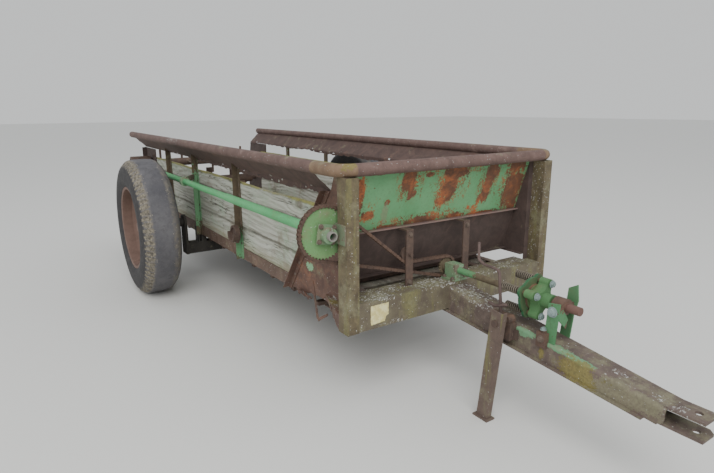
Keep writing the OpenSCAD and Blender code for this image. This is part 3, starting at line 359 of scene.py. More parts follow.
looks = {       # rust from dark to bright, paint as fresh, faded and dirty
    "post": {"seed": 1.0, "rust": [(76, 66, 50), (114, 102, 76), (142, 124, 92)], "lichen": 0.6,
             "flecks": 1.4, "crust": 0.25, "streaks": 0.55},
    "beam": {"seed": 2.0, "rust": [(88, 78, 66), (110, 102, 82), (124, 108, 84)], "lichen": 0.6,
             "flecks": 0.5, "crust": 0.6, "streaks": 0.7, "crest": (0.556, 0.0, 0.03),
             "marks": {"crust": [(-0.43, 0, 0.42, 0.08, 0.2, 0.02), (-0.12, 0, 0.556, 0.12, 0.2, 0.02)]}},
    "tongue": {"seed": 3.0, "rust": [(82, 70, 64), (110, 94, 86), (128, 112, 104)], "lichen": 0.5,
               "flecks": 0.3, "crust": 0.25, "streaks": 0.15, "crest": (0.533, 0.13, 0.012),
               "paint": [(86, 138, 98), (104, 144, 108), (96, 100, 76)], "bareFrom": 0.3,
               "marks": tongueMarks},
    "pipe": {"seed": 4.0, "rust": [(88, 68, 62), (118, 94, 86), (150, 128, 120)], "lichen": 0.05,
             "flecks": 0.15, "depth": 0.0005, "marks": {"crust": [(-0.717, 2.55, 1.2, 0.05, 0.25, 0.03)]}},
    "elbow": {"seed": 5.0, "rust": [(104, 82, 64), (132, 108, 84), (150, 124, 92)], "lichen": 0.4,
              "flecks": 0.3, "marks": {"yellow": [(-0.66, 0.04, 1.2, 0.05, 0.05, 0.03)]}},
    "sheet": {"seed": 6.0, "rust": [(82, 62, 54), (116, 86, 72), (148, 100, 74)], "lichen": 0.4,
              "flecks": 0.2, "crust": 0.05, "bareFrom": 0.2,
              "paint": [(120, 170, 126), (128, 172, 130), (110, 122, 84)],
              "marks": {"paint": [(-0.603, 0.525, 0.606, 0.02, 0.035, 0.022)],
                        "crust": [(-0.65, 0.2, 0.505, 0.08, 0.2, 0.012)],
                        "yellow": [(-0.64, 0.24, 0.503, 0.03, 0.04, 0.012)]}},
    "darkSheet": {"seed": 7.0, "rust": [(66, 54, 50), (90, 74, 68), (116, 84, 68)], "lichen": 0.05},
    "panel": {"seed": 8.0, "rust": [(84, 60, 46), (128, 82, 54), (178, 102, 58)], "lichen": 0.02,
              "brightFrom": 0.46, "drips": 1.6, "bareFrom": 0.6, "bareZones": [("z", 0.84, 0.8575)],
              "paint": [(88, 144, 96), (104, 156, 110), (94, 116, 80)], "marks": panelMarks,
              "rustZones": [("z", 0.84, 0.8575, (122, 104, 100))]},
    "shaft": {"seed": 9.0, "rust": [(84, 72, 54), (120, 98, 70), (150, 110, 70)], "lichen": 0.1,
              "bareFrom": 0.66, "bareZones": [("y", -0.2, 0.06)],
              "paint": [(78, 156, 98), (96, 166, 112), (80, 124, 82)],
              "rustZones": [("y", -0.2, 0.06, (134, 134, 128))]},
    "sprocket": {"seed": 10.0, "rust": [(84, 68, 54), (112, 86, 62), (130, 96, 66)], "lichen": 0.5,
                 "flecks": 0.5, "bareFrom": 0.6, "paint": [(98, 140, 88), (114, 150, 98), (96, 106, 70)]},
    "bearing": {"seed": 23.0, "rust": [(92, 84, 70), (118, 108, 92), (138, 122, 102)], "lichen": 0.6,
                "flecks": 0.8, "crust": 0.3, "bareFrom": 0.5, "bareZones": [("x", -0.707, -0.6)],
                "paint": [(104, 136, 102), (120, 144, 112), (104, 108, 84)]},
    "clutch": {"seed": 11.0, "rust": [(84, 66, 54), (116, 84, 62), (138, 98, 66)], "lichen": 0.1,
               "bareFrom": 0.6, "bareZones": [("y", -0.4825, -0.4695)],
               "paint": [(70, 112, 68), (90, 126, 80), (70, 86, 58)],
               "paintZones": [("y", -0.4695, -0.45, (40, 92, 58))]},
    "stand": {"seed": 12.0, "rust": [(80, 62, 54), (106, 82, 68), (126, 94, 74)], "lichen": 0.1,
              "bareFrom": 0.63, "bareZones": [("x", -0.053, 0.053), ("x", -0.09, -0.0635)],
              "paint": [(62, 118, 74), (78, 128, 86), (68, 92, 60)],
              "marks": {"paint": [(-0.03, -0.65, 0.56, 0.03, 0.01, 0.05)]}},
    "drive": {"seed": 24.0, "rust": [(84, 72, 56), (110, 98, 76), (124, 108, 84)], "lichen": 0.2,
              "bareFrom": 0.2, "paint": [(80, 136, 90), (94, 142, 98), (84, 102, 72)],
              "rustZones": [("y", -0.72, -0.645, (104, 72, 66))],
              "marks": {"paint": [(0, -0.05, 0.61, 0.05, 0.075, 0.05),
                                  (0, -0.325, 0.61, 0.05, 0.035, 0.05)]}},
    "stake": {"seed": 13.0, "rust": [(80, 68, 54), (104, 90, 70), (118, 98, 72)], "lichen": 0.35,
              "bareFrom": 0.4, "paint": [(96, 146, 104), (108, 152, 112), (88, 96, 66)],
              "marks": {"paint": [(-0.62, 2.4, 0.74, 0.05, 0.1, 0.24), (-0.62, 1.5, 0.53, 0.05, 0.1, 0.1)],
                        "bare": [(-0.62, 1.5, 0.9, 0.05, 0.1, 0.22)]}},
    "sill": {"seed": 14.0, "rust": [(88, 70, 60), (118, 96, 82), (134, 112, 94)], "lichen": 0.35,
             "flecks": 0.2},
    "iron": {"seed": 15.0, "rust": [(72, 58, 52), (100, 80, 68), (122, 92, 72)], "lichen": 0.1},
    # axle: darker than its iron, painted shade for the axle lying in shadow behind the wheels
    "axle": {"seed": 27.0, "rust": [(44, 42, 38), (64, 60, 54), (84, 76, 66)], "lichen": 0.2},
    "rim": {"seed": 16.0, "rust": [(108, 86, 76), (130, 104, 92), (142, 118, 104)]},
    "chain": {"seed": 17.0, "rust": [(72, 56, 48), (104, 80, 66), (128, 94, 72)], "depth": 0.0006},
    # pale wire: the steel's own grey, made lighter as a painted highlight on the coils
    "spring": {"seed": 18.0, "rust": [(96, 88, 76), (134, 124, 108), (172, 162, 146)], "depth": 0.0004},
    # the rods inside the springs: near black, painted shade between the coils rather than the rods' own
    # colour
    "core": {"seed": 26.0, "rust": [(22, 18, 16), (30, 24, 22), (38, 30, 28)]},
    "jack": {"seed": 19.0, "rust": [(88, 72, 66), (110, 94, 82), (122, 106, 84)], "lichen": 0.4,
             "flecks": 0.06, "streaks": 0.7},
    "flare": {"seed": 21.0, "rust": [(72, 56, 52), (100, 78, 70), (128, 92, 74)], "lichen": 0.1},
    "bolt": {"seed": 22.0, "rust": [(86, 74, 66), (116, 100, 88), (150, 130, 112)], "lichen": 0.1},
    "zinc": {"seed": 25.0, "rust": [(112, 128, 124), (150, 168, 164), (178, 190, 186)], "depth": 0.0003},
    "rod": {"seed": 20.0, "rust": [(80, 64, 60), (104, 86, 80), (122, 104, 94)]}}

boardLook = {"seed": 0.0, "algae": 0.6, "mossFrom": 0.94, "joints": (0.6454, 0.8444),
             "wood": [(186, 186, 174), (152, 150, 136), (118, 112, 98)]}
floorLook = {"seed": 5.0, "algae": 0.2, "wood": [(108, 98, 86), (84, 74, 64), (60, 52, 44)]}
woodMarks = {"stain": (122, 108, 90), "split": (52, 46, 40), "knot": (92, 76, 58), "crust": (200, 206, 194),
             "joint": (74, 68, 54), "foot": (140, 132, 96)}


def woodMaterial(name, look):
    # weathered plank: bowed grain, splits along it, knots, algae and moss on the top edge
    made, place = newMaterial(name)
    seed = look["seed"]
    knot = cells(mapped(place, (1.0, 0.5, 1.0), (seed, 0.3 + seed, 0.1)), 3.4)
    knot = knot + (cloud(place, 9.0) - 0.5) * 0.12
    near = 1 - knot.step(0.05, 0.5)
    lean = cloud(mapped(place, (1.0, 0.3, 1.0), (seed, 0, 0)), 3.2, 2.0, 0.5)
    level = coordinate(place, "z") + lean * 0.3 + near * near * 0.07
    rings = (level * 150.0 + cloud(mapped(place, (1.0, 0.12, 1.0)), 16.0) * 5.0).wave()
    grain = cloud(mapped(place, (1.0, 0.035, 1.0), (0, seed, 0)), 70.0, 5.0, 0.7, 0.4)
    fibre = cloud(mapped(place, (1.0, 0.05, 1.0)), 330.0, 3.0, 0.6)
    broad = cloud(place, 2.2, 4.0, 0.6)
    patch = cloud(place, 7.0, 6.0, 0.7, 0.4)
    pale, mid, dark = [paint(*c) for c in look["wood"]]
    colour = blendColours(rings.step(0.2, 0.95) * 0.75, pale, mid)
    colour = blendColours(fibre.step(0.4, 0.7) * 0.4, colour, pale)
    colour = blendColours(grain.step(0.5, 0.66) * 0.6, colour, dark)
    algae = patch.step(0.42, 0.62) * broad.step(0.35, 0.6) * look["algae"]
    colour = blendColours(algae, colour, shades(fibre.step(0.4, 0.6), *growth["algae"]))
    stain = cloud(mapped(place, (1, 1, 1), (4, 9, 2)), 3.4, 5.0, 0.65).step(0.56, 0.7)
    split = cloud(mapped(place, (1.0, 0.045, 1.0), (2, seed, 4)), 26.0, 3.0, 0.55, 0.3)
    split = 1 - (split - 0.5).size().step(0.003, 0.012)
    split = split * cloud(mapped(place, (1, 0.3, 1)), 5.0).step(0.42, 0.55)
    marks = [(stain * 0.6, "stain"), (split * 0.8, "split"), ((1 - knot.step(0.07, 0.12)) * 0.6, "knot"),
             (spots(place, 85.0, 0.3, 0.12, 2.0) * 0.5, "crust")]
    for mask, kind in marks:
        colour = blendColours(mask, colour, paint(*woodMarks[kind]))
    if "joints" in look:
        height = coordinate(place, "z") + (fibre - 0.5) * 0.012 + (patch - 0.5) * 0.03
        for joint in look["joints"]:     # dirt and shade where two boards meet
            gap = 1 - (height - joint).size().step(0.004, 0.016)
            colour = blendColours(gap * 0.6, colour, paint(*woodMarks["joint"]))
        moss = height.step(look["mossFrom"], look["mossFrom"] + 0.014) * 0.85
        colour = blendColours(moss, colour, shades(patch.step(0.4, 0.6), *growth["moss"]))
        colour = blendColours((1 - height.step(0.52, 0.58)) * 0.4, colour, paint(*woodMarks["foot"]))
    bump = rings * 0.35 + (1 - grain.step(0.5, 0.68)) * 0.7 + fibre * 0.25 - split * 1.2
    closeMaterial(place, colour, 0.82 + fibre * 0.15, bump, 0.0022, 0.8)
    return made


wheels = {"out": 1.014, "axle": 2.466, "height": 0.53}
rubberLook = {"crown": [(74, 73, 77), (98, 96, 98)], "crownDark": (60, 58, 60), "crownWorn": (132, 128, 122),
              "flank": [(44, 43, 45), (64, 62, 62)], "flankRing": (34, 34, 36), "flankWorn": (104, 98, 88),
              "dust": (128, 120, 106), "speck": (166, 158, 140),
              "earth": [(78, 73, 67), (142, 134, 116)], "earthDark": (66, 62, 58)}


def rubberMaterial(name):
    # bald crown, speckled shoulders, dark flanks with rings
    made, place = newMaterial(name)
    broad = cloud(place, 4.0, 5.0, 0.6)
    middle = cloud(place, 24.0, 6.0, 0.7, 0.5)
    fine = cloud(place, 150.0, 4.0, 0.65)
    off = (coordinate(place, "x").size() - wheels["out"]).size() + (middle - 0.5) * 0.02
    along = coordinate(place, "y") - wheels["axle"]
    rise = coordinate(place, "z") - wheels["height"]
    radius = place.maths("SQRT", along * along + rise * rise)
    ring = (radius * 420.0).wave()

    def over(colour, mask, key):
        return blendColours(mask, colour, paint(*rubberLook[key]))

    crown = shades(broad.step(0.3, 0.7), *rubberLook["crown"])
    crown = over(crown, middle.step(0.45, 0.7) * 0.5, "crownDark")
    crown = over(crown, fine.step(0.55, 0.75) * 0.4, "crownWorn")
    flank = shades(middle.step(0.4, 0.7), *rubberLook["flank"])
    flank = over(flank, ring.step(0.75, 0.95) * radius.within(0.36, 0.44, 0.004) * 0.5, "flankRing")
    flank = over(flank, fine.step(0.5, 0.7) * 0.35, "flankWorn")
    colour = blendColours((1 - radius.step(0.468, 0.49)).most(off.step(0.122, 0.134)), crown, flank)
    dust = off.within(0.07, 0.128, 0.01) * radius.step(0.48, 0.5) * middle.step(0.36, 0.6)
    colour = over(colour, dust * 0.55, "dust")
    speck = spots(place, 62.0, 0.24, 0.4, 1.0) * off.within(0.055, 0.12, 0.008) * radius.step(0.49, 0.5)
    colour = over(colour, speck * 0.6, "speck")
    height = middle * 0.5 + fine * 0.4 - ring * 0.4 * (1 - radius.step(0.44, 0.46))
    closeMaterial(place, colour, 0.7 + fine * 0.2, height, 0.0015, 0.6)
    return made


def earthMaterial(name):
    # dried tan earth and bleached rubber in the broken lugs
    made, place = newMaterial(name)
    middle = cloud(place, 60.0, 5.0, 0.7)
    fine = cloud(place, 240.0, 3.0, 0.65)
    colour = shades(middle.step(0.35, 0.65), *rubberLook["earth"])
    colour = blendColours(fine.step(0.48, 0.7) * 0.7, colour, paint(*rubberLook["earthDark"]))
    closeMaterial(place, colour, 0.95, middle + fine * 0.5, 0.002, 0.8)
    return made


steel = {key: steelMaterial(key + "Steel", look) for key, look in looks.items()}
boardWood = woodMaterial("boardWood", boardLook)
floorWood = woodMaterial("floorWood", floorLook)
rubber = rubberMaterial("wornRubber")
earth = earthMaterial("driedEarth")
print("materials made:", len(bpy.data.materials))

nodesOf = {     # the nodes of each steel look
    "sill": "sills", "beam": "front_beam", "post": "front_posts", "panel": "upper_panel",
    "darkSheet": "lower_panel end_sheet_left rear_plate_right rear_plate_left", "sheet": "end_sheet_right",
    "stake": "stakes_right stakes_left", "flare": "flare_right flare_left", "pipe": "top_rail",
    "elbow": "rail_elbows", "tongue": "tongue", "stand": "pto_stand",
    "bearing": "root_bearing shaft_hangers", "chain": "drive_chain beater_chain", "rod": "control_rod",
    "iron": "cross_members panel_straps jack_bracket apron_chains apron_shafts rear_gearbox side_bracket "
            "main_beater upper_beater",
    "axle": "axle", "rim": "rim_right rim_left", "shaft": "side_shaft", "sprocket": "drive_sprocket",
    "drive": "pto_shaft", "clutch": "slip_clutch", "spring": "clutch_springs", "jack": "jack_leg"}


def finish(nodes, material):
    for node in nodes.split():
        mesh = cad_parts[node].data
        mesh.materials.clear()
        mesh.materials.append(material)


for key, nodes in nodesOf.items():
    finish(nodes, steel[key])
finish("side_boards_right side_boards_left", boardWood)
finish("floor_boards", floorWood)
finish("tyre_right tyre_left", rubber)
print("finishes put on the frame's nodes")

stage = {"floorHalf": 60.0, "floorColour": (214, 213, 208), "backColour": (226, 228, 228),
         "skyColour": (0.93, 0.96, 1.0, 1.0), "skyLight": 0.98, "lampPower": 950.0, "lampSize": 9.0,
         "lampPlace": (-4.5, -6.0, 8.0), "lampAim": (0, 0, 0.6)}


def makeStage():
    half = stage["floorHalf"]
    mesh = bpy.data.meshes.new("floor")
    mesh.from_pydata([(-half, -half, 0), (half, -half, 0), (half, half, 0), (-half, half, 0)], [],
                     [(0, 1, 2, 3)])
    floor = bpy.data.objects.new("floor", mesh)
    bpy.context.scene.collection.objects.link(floor)
    made, place = newMaterial("paleFloor")
    closeMaterial(place, paint(*stage["floorColour"]), 0.9)
    mesh.materials.append(made)

    world = bpy.data.worlds.new("world")
    bpy.context.scene.world = world
    world.use_nodes = True
    world.node_tree.nodes.clear()
    start = Wire(world.node_tree)
    seen = start.node("LightPath", pick="Is Camera Ray").most(start.node("LightPath", pick="Is Glossy Ray"))
    light = start.node("Background", {}, {"Color": stage["skyColour"], "Strength": stage["skyLight"]})
    back = start.node("Background", {}, {"Color": paint(*stage["backColour"]), "Strength": 1.0})
    closeTree(start.node("MixShader", {}, {0: seen, 1: light, 2: back}), "ShaderNodeOutputWorld")

    lamp = bpy.data.lights.new("softLamp", "AREA")
    lamp.shape = "DISK"
    lamp.size = stage["lampSize"]
    lamp.energy = stage["lampPower"]
    holder = bpy.data.objects.new("softLamp", lamp)
    holder.location = at(*stage["lampPlace"])
    aim = Vector(stage["lampAim"]) - holder.location
    holder.rotation_euler = aim.to_track_quat("-Z", "Y").to_euler()
    bpy.context.scene.collection.objects.link(holder)


makeStage()
print("floor, world and lamp made")


def evenOutline(radius, count, turn=0.0):
    return [polar(radius, tau * (k + turn) / count) for k in range(count)]


def strip(a, b, count, turned=False):    # faces between two rings of corners that start at a and b
    faces = [(a + k, a + (k + 1) % count, b + (k + 1) % count, b + k) for k in range(count)]
    return [(f[0], f[3], f[2], f[1]) for f in faces] if turned else faces


class Pile:
    # corners and faces of one piece, put together bit by bit

    def __init__(self):
        self.corners = []
        self.faces = []

    def add(self, corners, faces):
        base = len(self.corners)
        self.corners += [tuple(c) for c in corners]
        self.faces += [tuple(base + i for i in face) for face in faces]

    def slab(self, outline, middle, right, up, thick):
        # an outline in the plane of right and up, thickened both ways
        count = len(outline)
        half = right.cross(up).normalized() * thick / 2
        flat = [middle + right * u + up * v for u, v in outline]
        ends = [tuple(range(count)), tuple(range(2 * count - 1, count - 1, -1))]
        self.add([p + half for p in flat] + [p - half for p in flat], ends + strip(0, count, count, True))

    def tube(self, path, radius, sides):
        # a round bar along a path, radius as one number or one for each point
        count = len(path)
        radii = radius if isinstance(radius, list) else [radius] * count
        side = (path[1] - path[0]).normalized().orthogonal()
        corners = []
        for i, point in enumerate(path):
            way = (path[min(i + 1, count - 1)] - path[max(i - 1, 0)]).normalized()
            side = (side - way * side.dot(way)).normalized()
            other = way.cross(side)
            corners += [point + side * u + other * v for u, v in evenOutline(radii[i], sides)]
        faces = [face for i in range(count - 1) for face in strip(i * sides, (i + 1) * sides, sides)]
        faces += [tuple(range(sides - 1, -1, -1)), tuple(range((count - 1) * sides, count * sides))]
        self.add(corners, faces)

    def hexHead(self, place, way, across, height, washer=0.0):
        # a bolt's head or nut on its seat, with a washer and the thread's end
        seat, rootThree, threadShare, threadReach = 0.002, 1.732, 0.28, 1.35
        right = way.orthogonal().normalized()
        up = way.cross(right)
        if washer:
            self.slab(evenOutline(washer, 16), place + way * seat / 2, right, up, seat)
        turn = (place.x * 37 + place.y * 53 + place.z * 71) % 1
        middle = place + way * (seat + height / 2)
        self.slab(evenOutline(across / rootThree, 6, turn), middle, right, up, height)
        self.tube([place + way * seat, place + way * (seat + height * threadReach)], across * threadShare, 8)

    def roundHead(self, place, way, radius):
        # a low carriage bolt head
        side = way.orthogonal().normalized()
        other = way.cross(side)
        rings, sides, tall = 4, 12, radius * 0.42
        corners = [place + way * tall]
        for i in range(1, rings + 1):
            lean = math.pi / 2 * i / rings
            corners += [place + way * tall * math.cos(lean) + side * u + other * v
                        for u, v in evenOutline(radius * math.sin(lean), sides)]
        faces = [(0, 1 + k, 1 + (k + 1) % sides) for k in range(sides)]
        for i in range(rings - 1):
            faces += strip(1 + i * sides, 1 + (i + 1) * sides, sides, True)
        faces.append(tuple(1 + (rings - 1) * sides + k for k in range(sides - 1, -1, -1)))
        self.add(corners, faces)


def piece(name, pile, material, body, smooth=None):
    mesh = bpy.data.meshes.new(name)
    mesh.from_pydata(pile.corners, [], pile.faces)
    mesh.validate()
    made = bpy.data.objects.new(name, mesh)
    bpy.context.scene.collection.objects.link(made)
    mesh.materials.append(material)
    if smooth is not None:
        mesh.shade_smooth()
        mesh.set_sharp_from_angle(angle=math.radians(smooth))
    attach(made, body)
    return made


chain = {"pitch": 0.01905, "sideTeeth": 42, "pinionTeeth": 18, "idlerRadius": 0.044, "side": (-0.754, 0.89),
         "idler": (-0.27, 0.72), "pinion": (0.0, 0.61), "middle": 0.108, "roller": 0.0119, "width": 0.0126,
         "plate": 0.0022, "plateHalf": 0.0082, "waist": 0.72, "pin": 0.0026}


def pitchRadius(teeth):
    return chain["pitch"] / 2 / math.sin(math.pi / teeth)


def loopPlaces(circles):
    # pins along a loop round circles, each (centre, radius), the radius negative where the loop bends back
    count = len(circles)
    headings = []
    for i in range(count):
        (a, ra), (b, rb) = circles[i], circles[(i + 1) % count]
        across = Vector(b) - Vector(a)
        headings.append(math.atan2(across.y, across.x) - math.asin((rb - ra) / across.length))

    def on(circle, angle):
        centre, radius = circle
        return Vector((centre[0] + radius * math.sin(angle), centre[1] - radius * math.cos(angle)))

    dense = []
    for i in range(count):
        enter, leave = headings[i - 1], headings[i]
        turn = (leave - enter) % tau
        if circles[i][1] < 0:
            turn = turn - tau
        dense += [on(circles[i], enter + turn * k / 60) for k in range(61)]
        start, end = dense[-1], on(circles[(i + 1) % count], leave)
        dense += [start.lerp(end, k / 200) for k in range(1, 200)]
    lengths = [0.0]
    for a, b in zip(dense, dense[1:] + dense[:1]):
        lengths.append(lengths[-1] + (b - a).length)
    links = 2 * round(lengths[-1] / chain["pitch"] / 2)
    places, k = [], 0
    for i in range(links):
        goal = lengths[-1] * i / links
        while lengths[k + 1] < goal:
            k += 1
        share = (goal - lengths[k]) / (lengths[k + 1] - lengths[k])
        places.append(dense[k].lerp(dense[(k + 1) % len(dense)], share))
    return places


def plateOutline(reach):                 # a link plate with round ends and a waist
    half = chain["plateHalf"]
    outline = []
    for side in (1, -1):
        for k in range(9):
            u, v = polar(half, (k / 8 - 0.5) * math.pi * 0.94)
            outline.append((side * (reach + u), side * v))
        outline.append((0.0, side * half * chain["waist"]))
    return outline


def makeDriveChain():
    circles = [(chain["pinion"], pitchRadius(chain["pinionTeeth"])),
               (chain["idler"], -chain["idlerRadius"]),
               (chain["side"], pitchRadius(chain["sideTeeth"]))]
    pins = [at(p.x, chain["middle"], p.y) for p in loopPlaces(circles)]
    plate, width, normal = chain["plate"], chain["width"], Vector((0, 1, 0))
    pile = Pile()
    for i, start in enumerate(pins):
        end = pins[(i + 1) % len(pins)]
        right = (end - start).normalized()
        place = width / 2 + plate * (0.5 + i % 2)     # every second link has its plates further out
        for way in (-1, 1):
            pile.slab(plateOutline((end - start).length / 2), (start + end) / 2 + normal * place * way,
                      right, normal.cross(right), plate * 0.96)
        for half, radius, sides in ((width / 2, chain["roller"] / 2, 10),
                                    (width / 2 + plate * 2.2, chain["pin"], 6)):
            pile.tube([start - normal * half, start + normal * half], radius, sides)
    made = piece("rollerChain", pile, steel["chain"], "frame", 40)
    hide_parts("drive_chain")
    print("drive chain:", len(pins), "links")


makeDriveChain()

springs = {"angles": (66, 156, 246, 336), "radius": 0.076, "axis": 0.61, "near": -0.351, "far": -0.455,
           "coils": 9, "coilRadius": 0.0163, "wire": 0.0026, "core": 0.0125, "coreOut": 0.008,
           "washer": 0.019, "washerThick": 0.003, "lap": 0.001,
           "nut": (0.024, 0.006), "head": (0.024, 0.009), "headPlace": -0.539, "turnSteps": 22}
boltRows = []      # body, place, way, width across, height, kind


def coilPath(x, z):
    near, far, coils = springs["near"], springs["far"], springs["coils"]
    path = []
    steps = coils * springs["turnSteps"]
    for k in range(steps + 1):
        share = k / steps
        flat = 1 - min(1, min(share, 1 - share) * coils * 0.8)     # the end coils lie flat
        u, v = polar(springs["coilRadius"], tau * coils * share)
        path.append(at(x + u, near + (far - near) * (0.03 + 0.94 * (share + 0.02 * flat)), z + v))
    return path


def makeSprings():
    pile, cores = Pile(), []
    for angle in springs["angles"]:
        x, z = polar(springs["radius"], math.radians(angle))
        z += springs["axis"]
        pile.tube(coilPath(x, z), springs["wire"], 8)
        # each core rod, thicker than the real rod and finished near black as painted shade between the coils
        before = len(pile.faces)
        core = [at(x, springs["far"], z), at(x, springs["near"] + springs["coreOut"], z)]
        pile.tube(core, springs["core"], 12)
        cores += range(before, len(pile.faces))
        pile.slab(evenOutline(springs["washer"], 20), at(x, springs["near"] + springs["lap"], z),
                  Vector((1, 0, 0)), Vector((0, 0, 1)), springs["washerThick"])
        pile.hexHead(at(x, springs["near"] - springs["lap"], z), Vector((0, 1, 0)), *springs["nut"])
        boltRows.append(("pto", (x, springs["headPlace"], z), (0, -1, 0), *springs["head"], "zinc"))
    made = piece("springCoils", pile, steel["spring"], "pto", 35)
    # the core rods' faces take the near-black finish: painted shade between the coils
    made.data.materials.append(steel["core"])
    for index in cores:
        made.data.polygons[index].material_index = 1
    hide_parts("clutch_springs")


makeSprings()
print("clutch springs wound")

rod = {"across": -0.119, "radius": 0.007, "hookRadius": 0.008, "bend": 0.022, "tip": (0.4, 0.6),
       "path": [(-0.237, 0.831), (-0.240, 0.746), (-0.273, 0.732), (-0.367, 0.726), (-0.3955, 0.484)],
       "hook": [(-0.313, 0.559), (-0.353, 0.552), (-0.422, 0.577)]}


def rounded(points, bend, steps=8):
    # a path with its corners turned into curves
    path = [points[0]]
    for before, corner, after in zip(points, points[1:], points[2:]):
        a, b = before - corner, after - corner
        back = min(bend / math.tan(a.angle(b) / 2), a.length * 0.45, b.length * 0.45)
        start, end = corner + a.normalized() * back, corner + b.normalized() * back
        for k in range(steps + 1):
            share = k / steps
            path.append(start.lerp(corner, share).lerp(corner.lerp(end, share), share))
    return path + [points[-1]]


def makeRod():
    pile = Pile()
    tipLength, tipRadius = rod["tip"]    # shares of the radius, for the chamfered ends
    for key, radius in (("path", rod["radius"]), ("hook", rod["hookRadius"])):
        path = rounded([at(rod["across"], y, z) for y, z in rod[key]], rod["bend"])
        first = path[0] + (path[1] - path[0]).normalized() * radius * tipLength
        last = path[-1] + (path[-2] - path[-1]).normalized() * radius * tipLength
        path = [path[0], first] + path[1:-1] + [last, path[-1]]
        pile.tube(path, [radius * tipRadius] + [radius] * (len(path) - 2) + [radius * tipRadius], 12)
    made = piece("bentRod", pile, steel["rod"], "frame", 50)
    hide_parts("control_rod")


makeRod()
print("control rod bent")

tyre = {"steps": 360, "half": 0.145, "radius": 0.53, "rim": 0.323, "notchDepth": 0.009, "notches": 74,
        "shoulder": (0.074, 0.134), "shoulderSoft": 0.012, "innerWear": 0.45, "earthFrom": 0.0019,
        # in from the side and out from the rim, then in from the side and down from the crown
        "flank": [(0.0305, -0.014), (0.0245, 0.0006), (0.016, 0.003), (0.01, 0.02), (0.0045, 0.038),
                  (0.001, 0.055), (0.0008, 0.075), (0.0008, 0.09), (0.0025, 0.108), (0.0055, 0.126),
                  (0.0085, 0.14), (0.0125, 0.152), (0.019, 0.165)],
        "crown": [(0.0265, 0.034), (0.031, 0.0285), (0.038, 0.021), (0.045, 0.0145), (0.051, 0.0102),
                  (0.058, 0.0075), (0.066, 0.005), (0.076, 0.0028), (0.09, 0.0018), (0.106, 0.0012),
                  (0.124, 0.0008), (0.145, 0.0005)]}


def tyreProfile():
    # distance from the middle plane and radius, over the outside, then the bead and back inside
    h, r, rim = tyre["half"], tyre["radius"], tyre["rim"]
    outside = [(u - h, rim + v) for u, v in tyre["flank"]] + [(u - h, r - v) for u, v in tyre["crown"]]
    outside += [(-u, v) for u, v in reversed(outside[:-1])]
    inside = [(h - 0.04, rim), (h - 0.026, rim + 0.09), (h - 0.05, r - 0.052), (0.0, r - 0.034),
              (-h + 0.05, r - 0.052), (-h + 0.026, rim + 0.09), (-h + 0.04, rim)]
    return outside, inside


def tyreWear(u, v, angle):
    # how far a point of the outside sinks: broken shoulder lugs and cracked flanks
    where = Vector((math.cos(angle), math.sin(angle), u * 6))
    depth = 0.0009 * (noise.noise(where * 40) + 0.6) * (v > tyre["rim"] + 0.02)
    if v > tyre["radius"] - 0.045 and abs(u) > 0.06:
        beat = (angle * tyre["notches"] / tau + 0.25 * noise.noise(where * 9)) % 1
        ragged = noise.noise(where * 24) * 0.5 + 0.5
        low, high = tyre["shoulder"]
        soft = tyre["shoulderSoft"]
        band = clamped((abs(u) - low) / soft) * clamped((high - abs(u)) / soft)
        notch = clamped((0.5 + 0.4 * ragged - abs(beat - 0.5) * 2) * 4)
        share = 1.0 if u > 0 else tyre["innerWear"]
        depth += tyre["notchDepth"] * band * notch * share * (0.4 + 0.6 * ragged)
    return max(0.0, depth)


def makeTyre(node, body, side):
    low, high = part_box(node)
    middle = (low + high) / 2
    outside, inside = tyreProfile()
    profile = outside + inside
    steps, count = tyre["steps"], len(profile)
    corners, sunk, faces = [], [], []
    for k in range(steps):
        angle = tau * k / steps
        for i, (u, v) in enumerate(profile):
            depth = tyreWear(u, v, angle) if i < len(outside) else 0.0
            sunk.append(depth)
            y, z = polar(v - depth, angle)
            corners.append((middle.x + side * u, middle.y + y, middle.z + z))
        faces += strip(k * count, (k + 1) % steps * count, count, side < 0)
    pile = Pile()
    pile.add(corners, faces)
    made = piece(node + "Worn", pile, rubber, body, 38)
    made.data.materials.append(earth)
    for polygon in made.data.polygons:
        outward = (polygon.center.x - middle.x) * side
        if outward > 0 and sum(sunk[i] for i in polygon.vertices) / 4 > tyre["earthFrom"]:
            polygon.material_index = 1
    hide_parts(node)


makeTyre("tyre_right", "wheel_right", -1)
makeTyre("tyre_left", "wheel_left", 1)
print("tyres made")

flare = {"front": 0.302, "rear": 4.15, "outX": 0.7045, "outZ": 1.1475, "foldX": 0.5995, "foldZ": 1.05,
         "thick": 0.0026, "cell": 0.0085, "rows": 9, "foot": 1.018, "soundTo": 0.9,
         "holeTop": 1.085, "holeFade": 0.05, "holeFrom": 0.52, "holeMore": 0.14,
         "loss": {-1: 0.014375, 1: 0.00875},                       # of height for each metre beyond that
         "wander": [(1, 0.0143), (5, 0.0091), (17, 0.0052)],       # scale and height of the edge's waves
         "slope": [(0.0, 0.0), (0.22, 0.002), (0.45, -0.001), (0.68, 0.0015), (0.86, 0.0), (0.95, 0.0),
                   (1.0, 0.0)]}                                    # share of the way in, and how far bulged


def flareFoot(y, side):
    # height of the sheet's rusted lower edge
    where = Vector((y * 3.1, side * 7.0, 0.3))
    wander = sum(tall * noise.noise(where * scale) for scale, tall in flare["wander"])
    return flare["foot"] + max(0.0, y - flare["soundTo"]) * flare["loss"][side] + wander


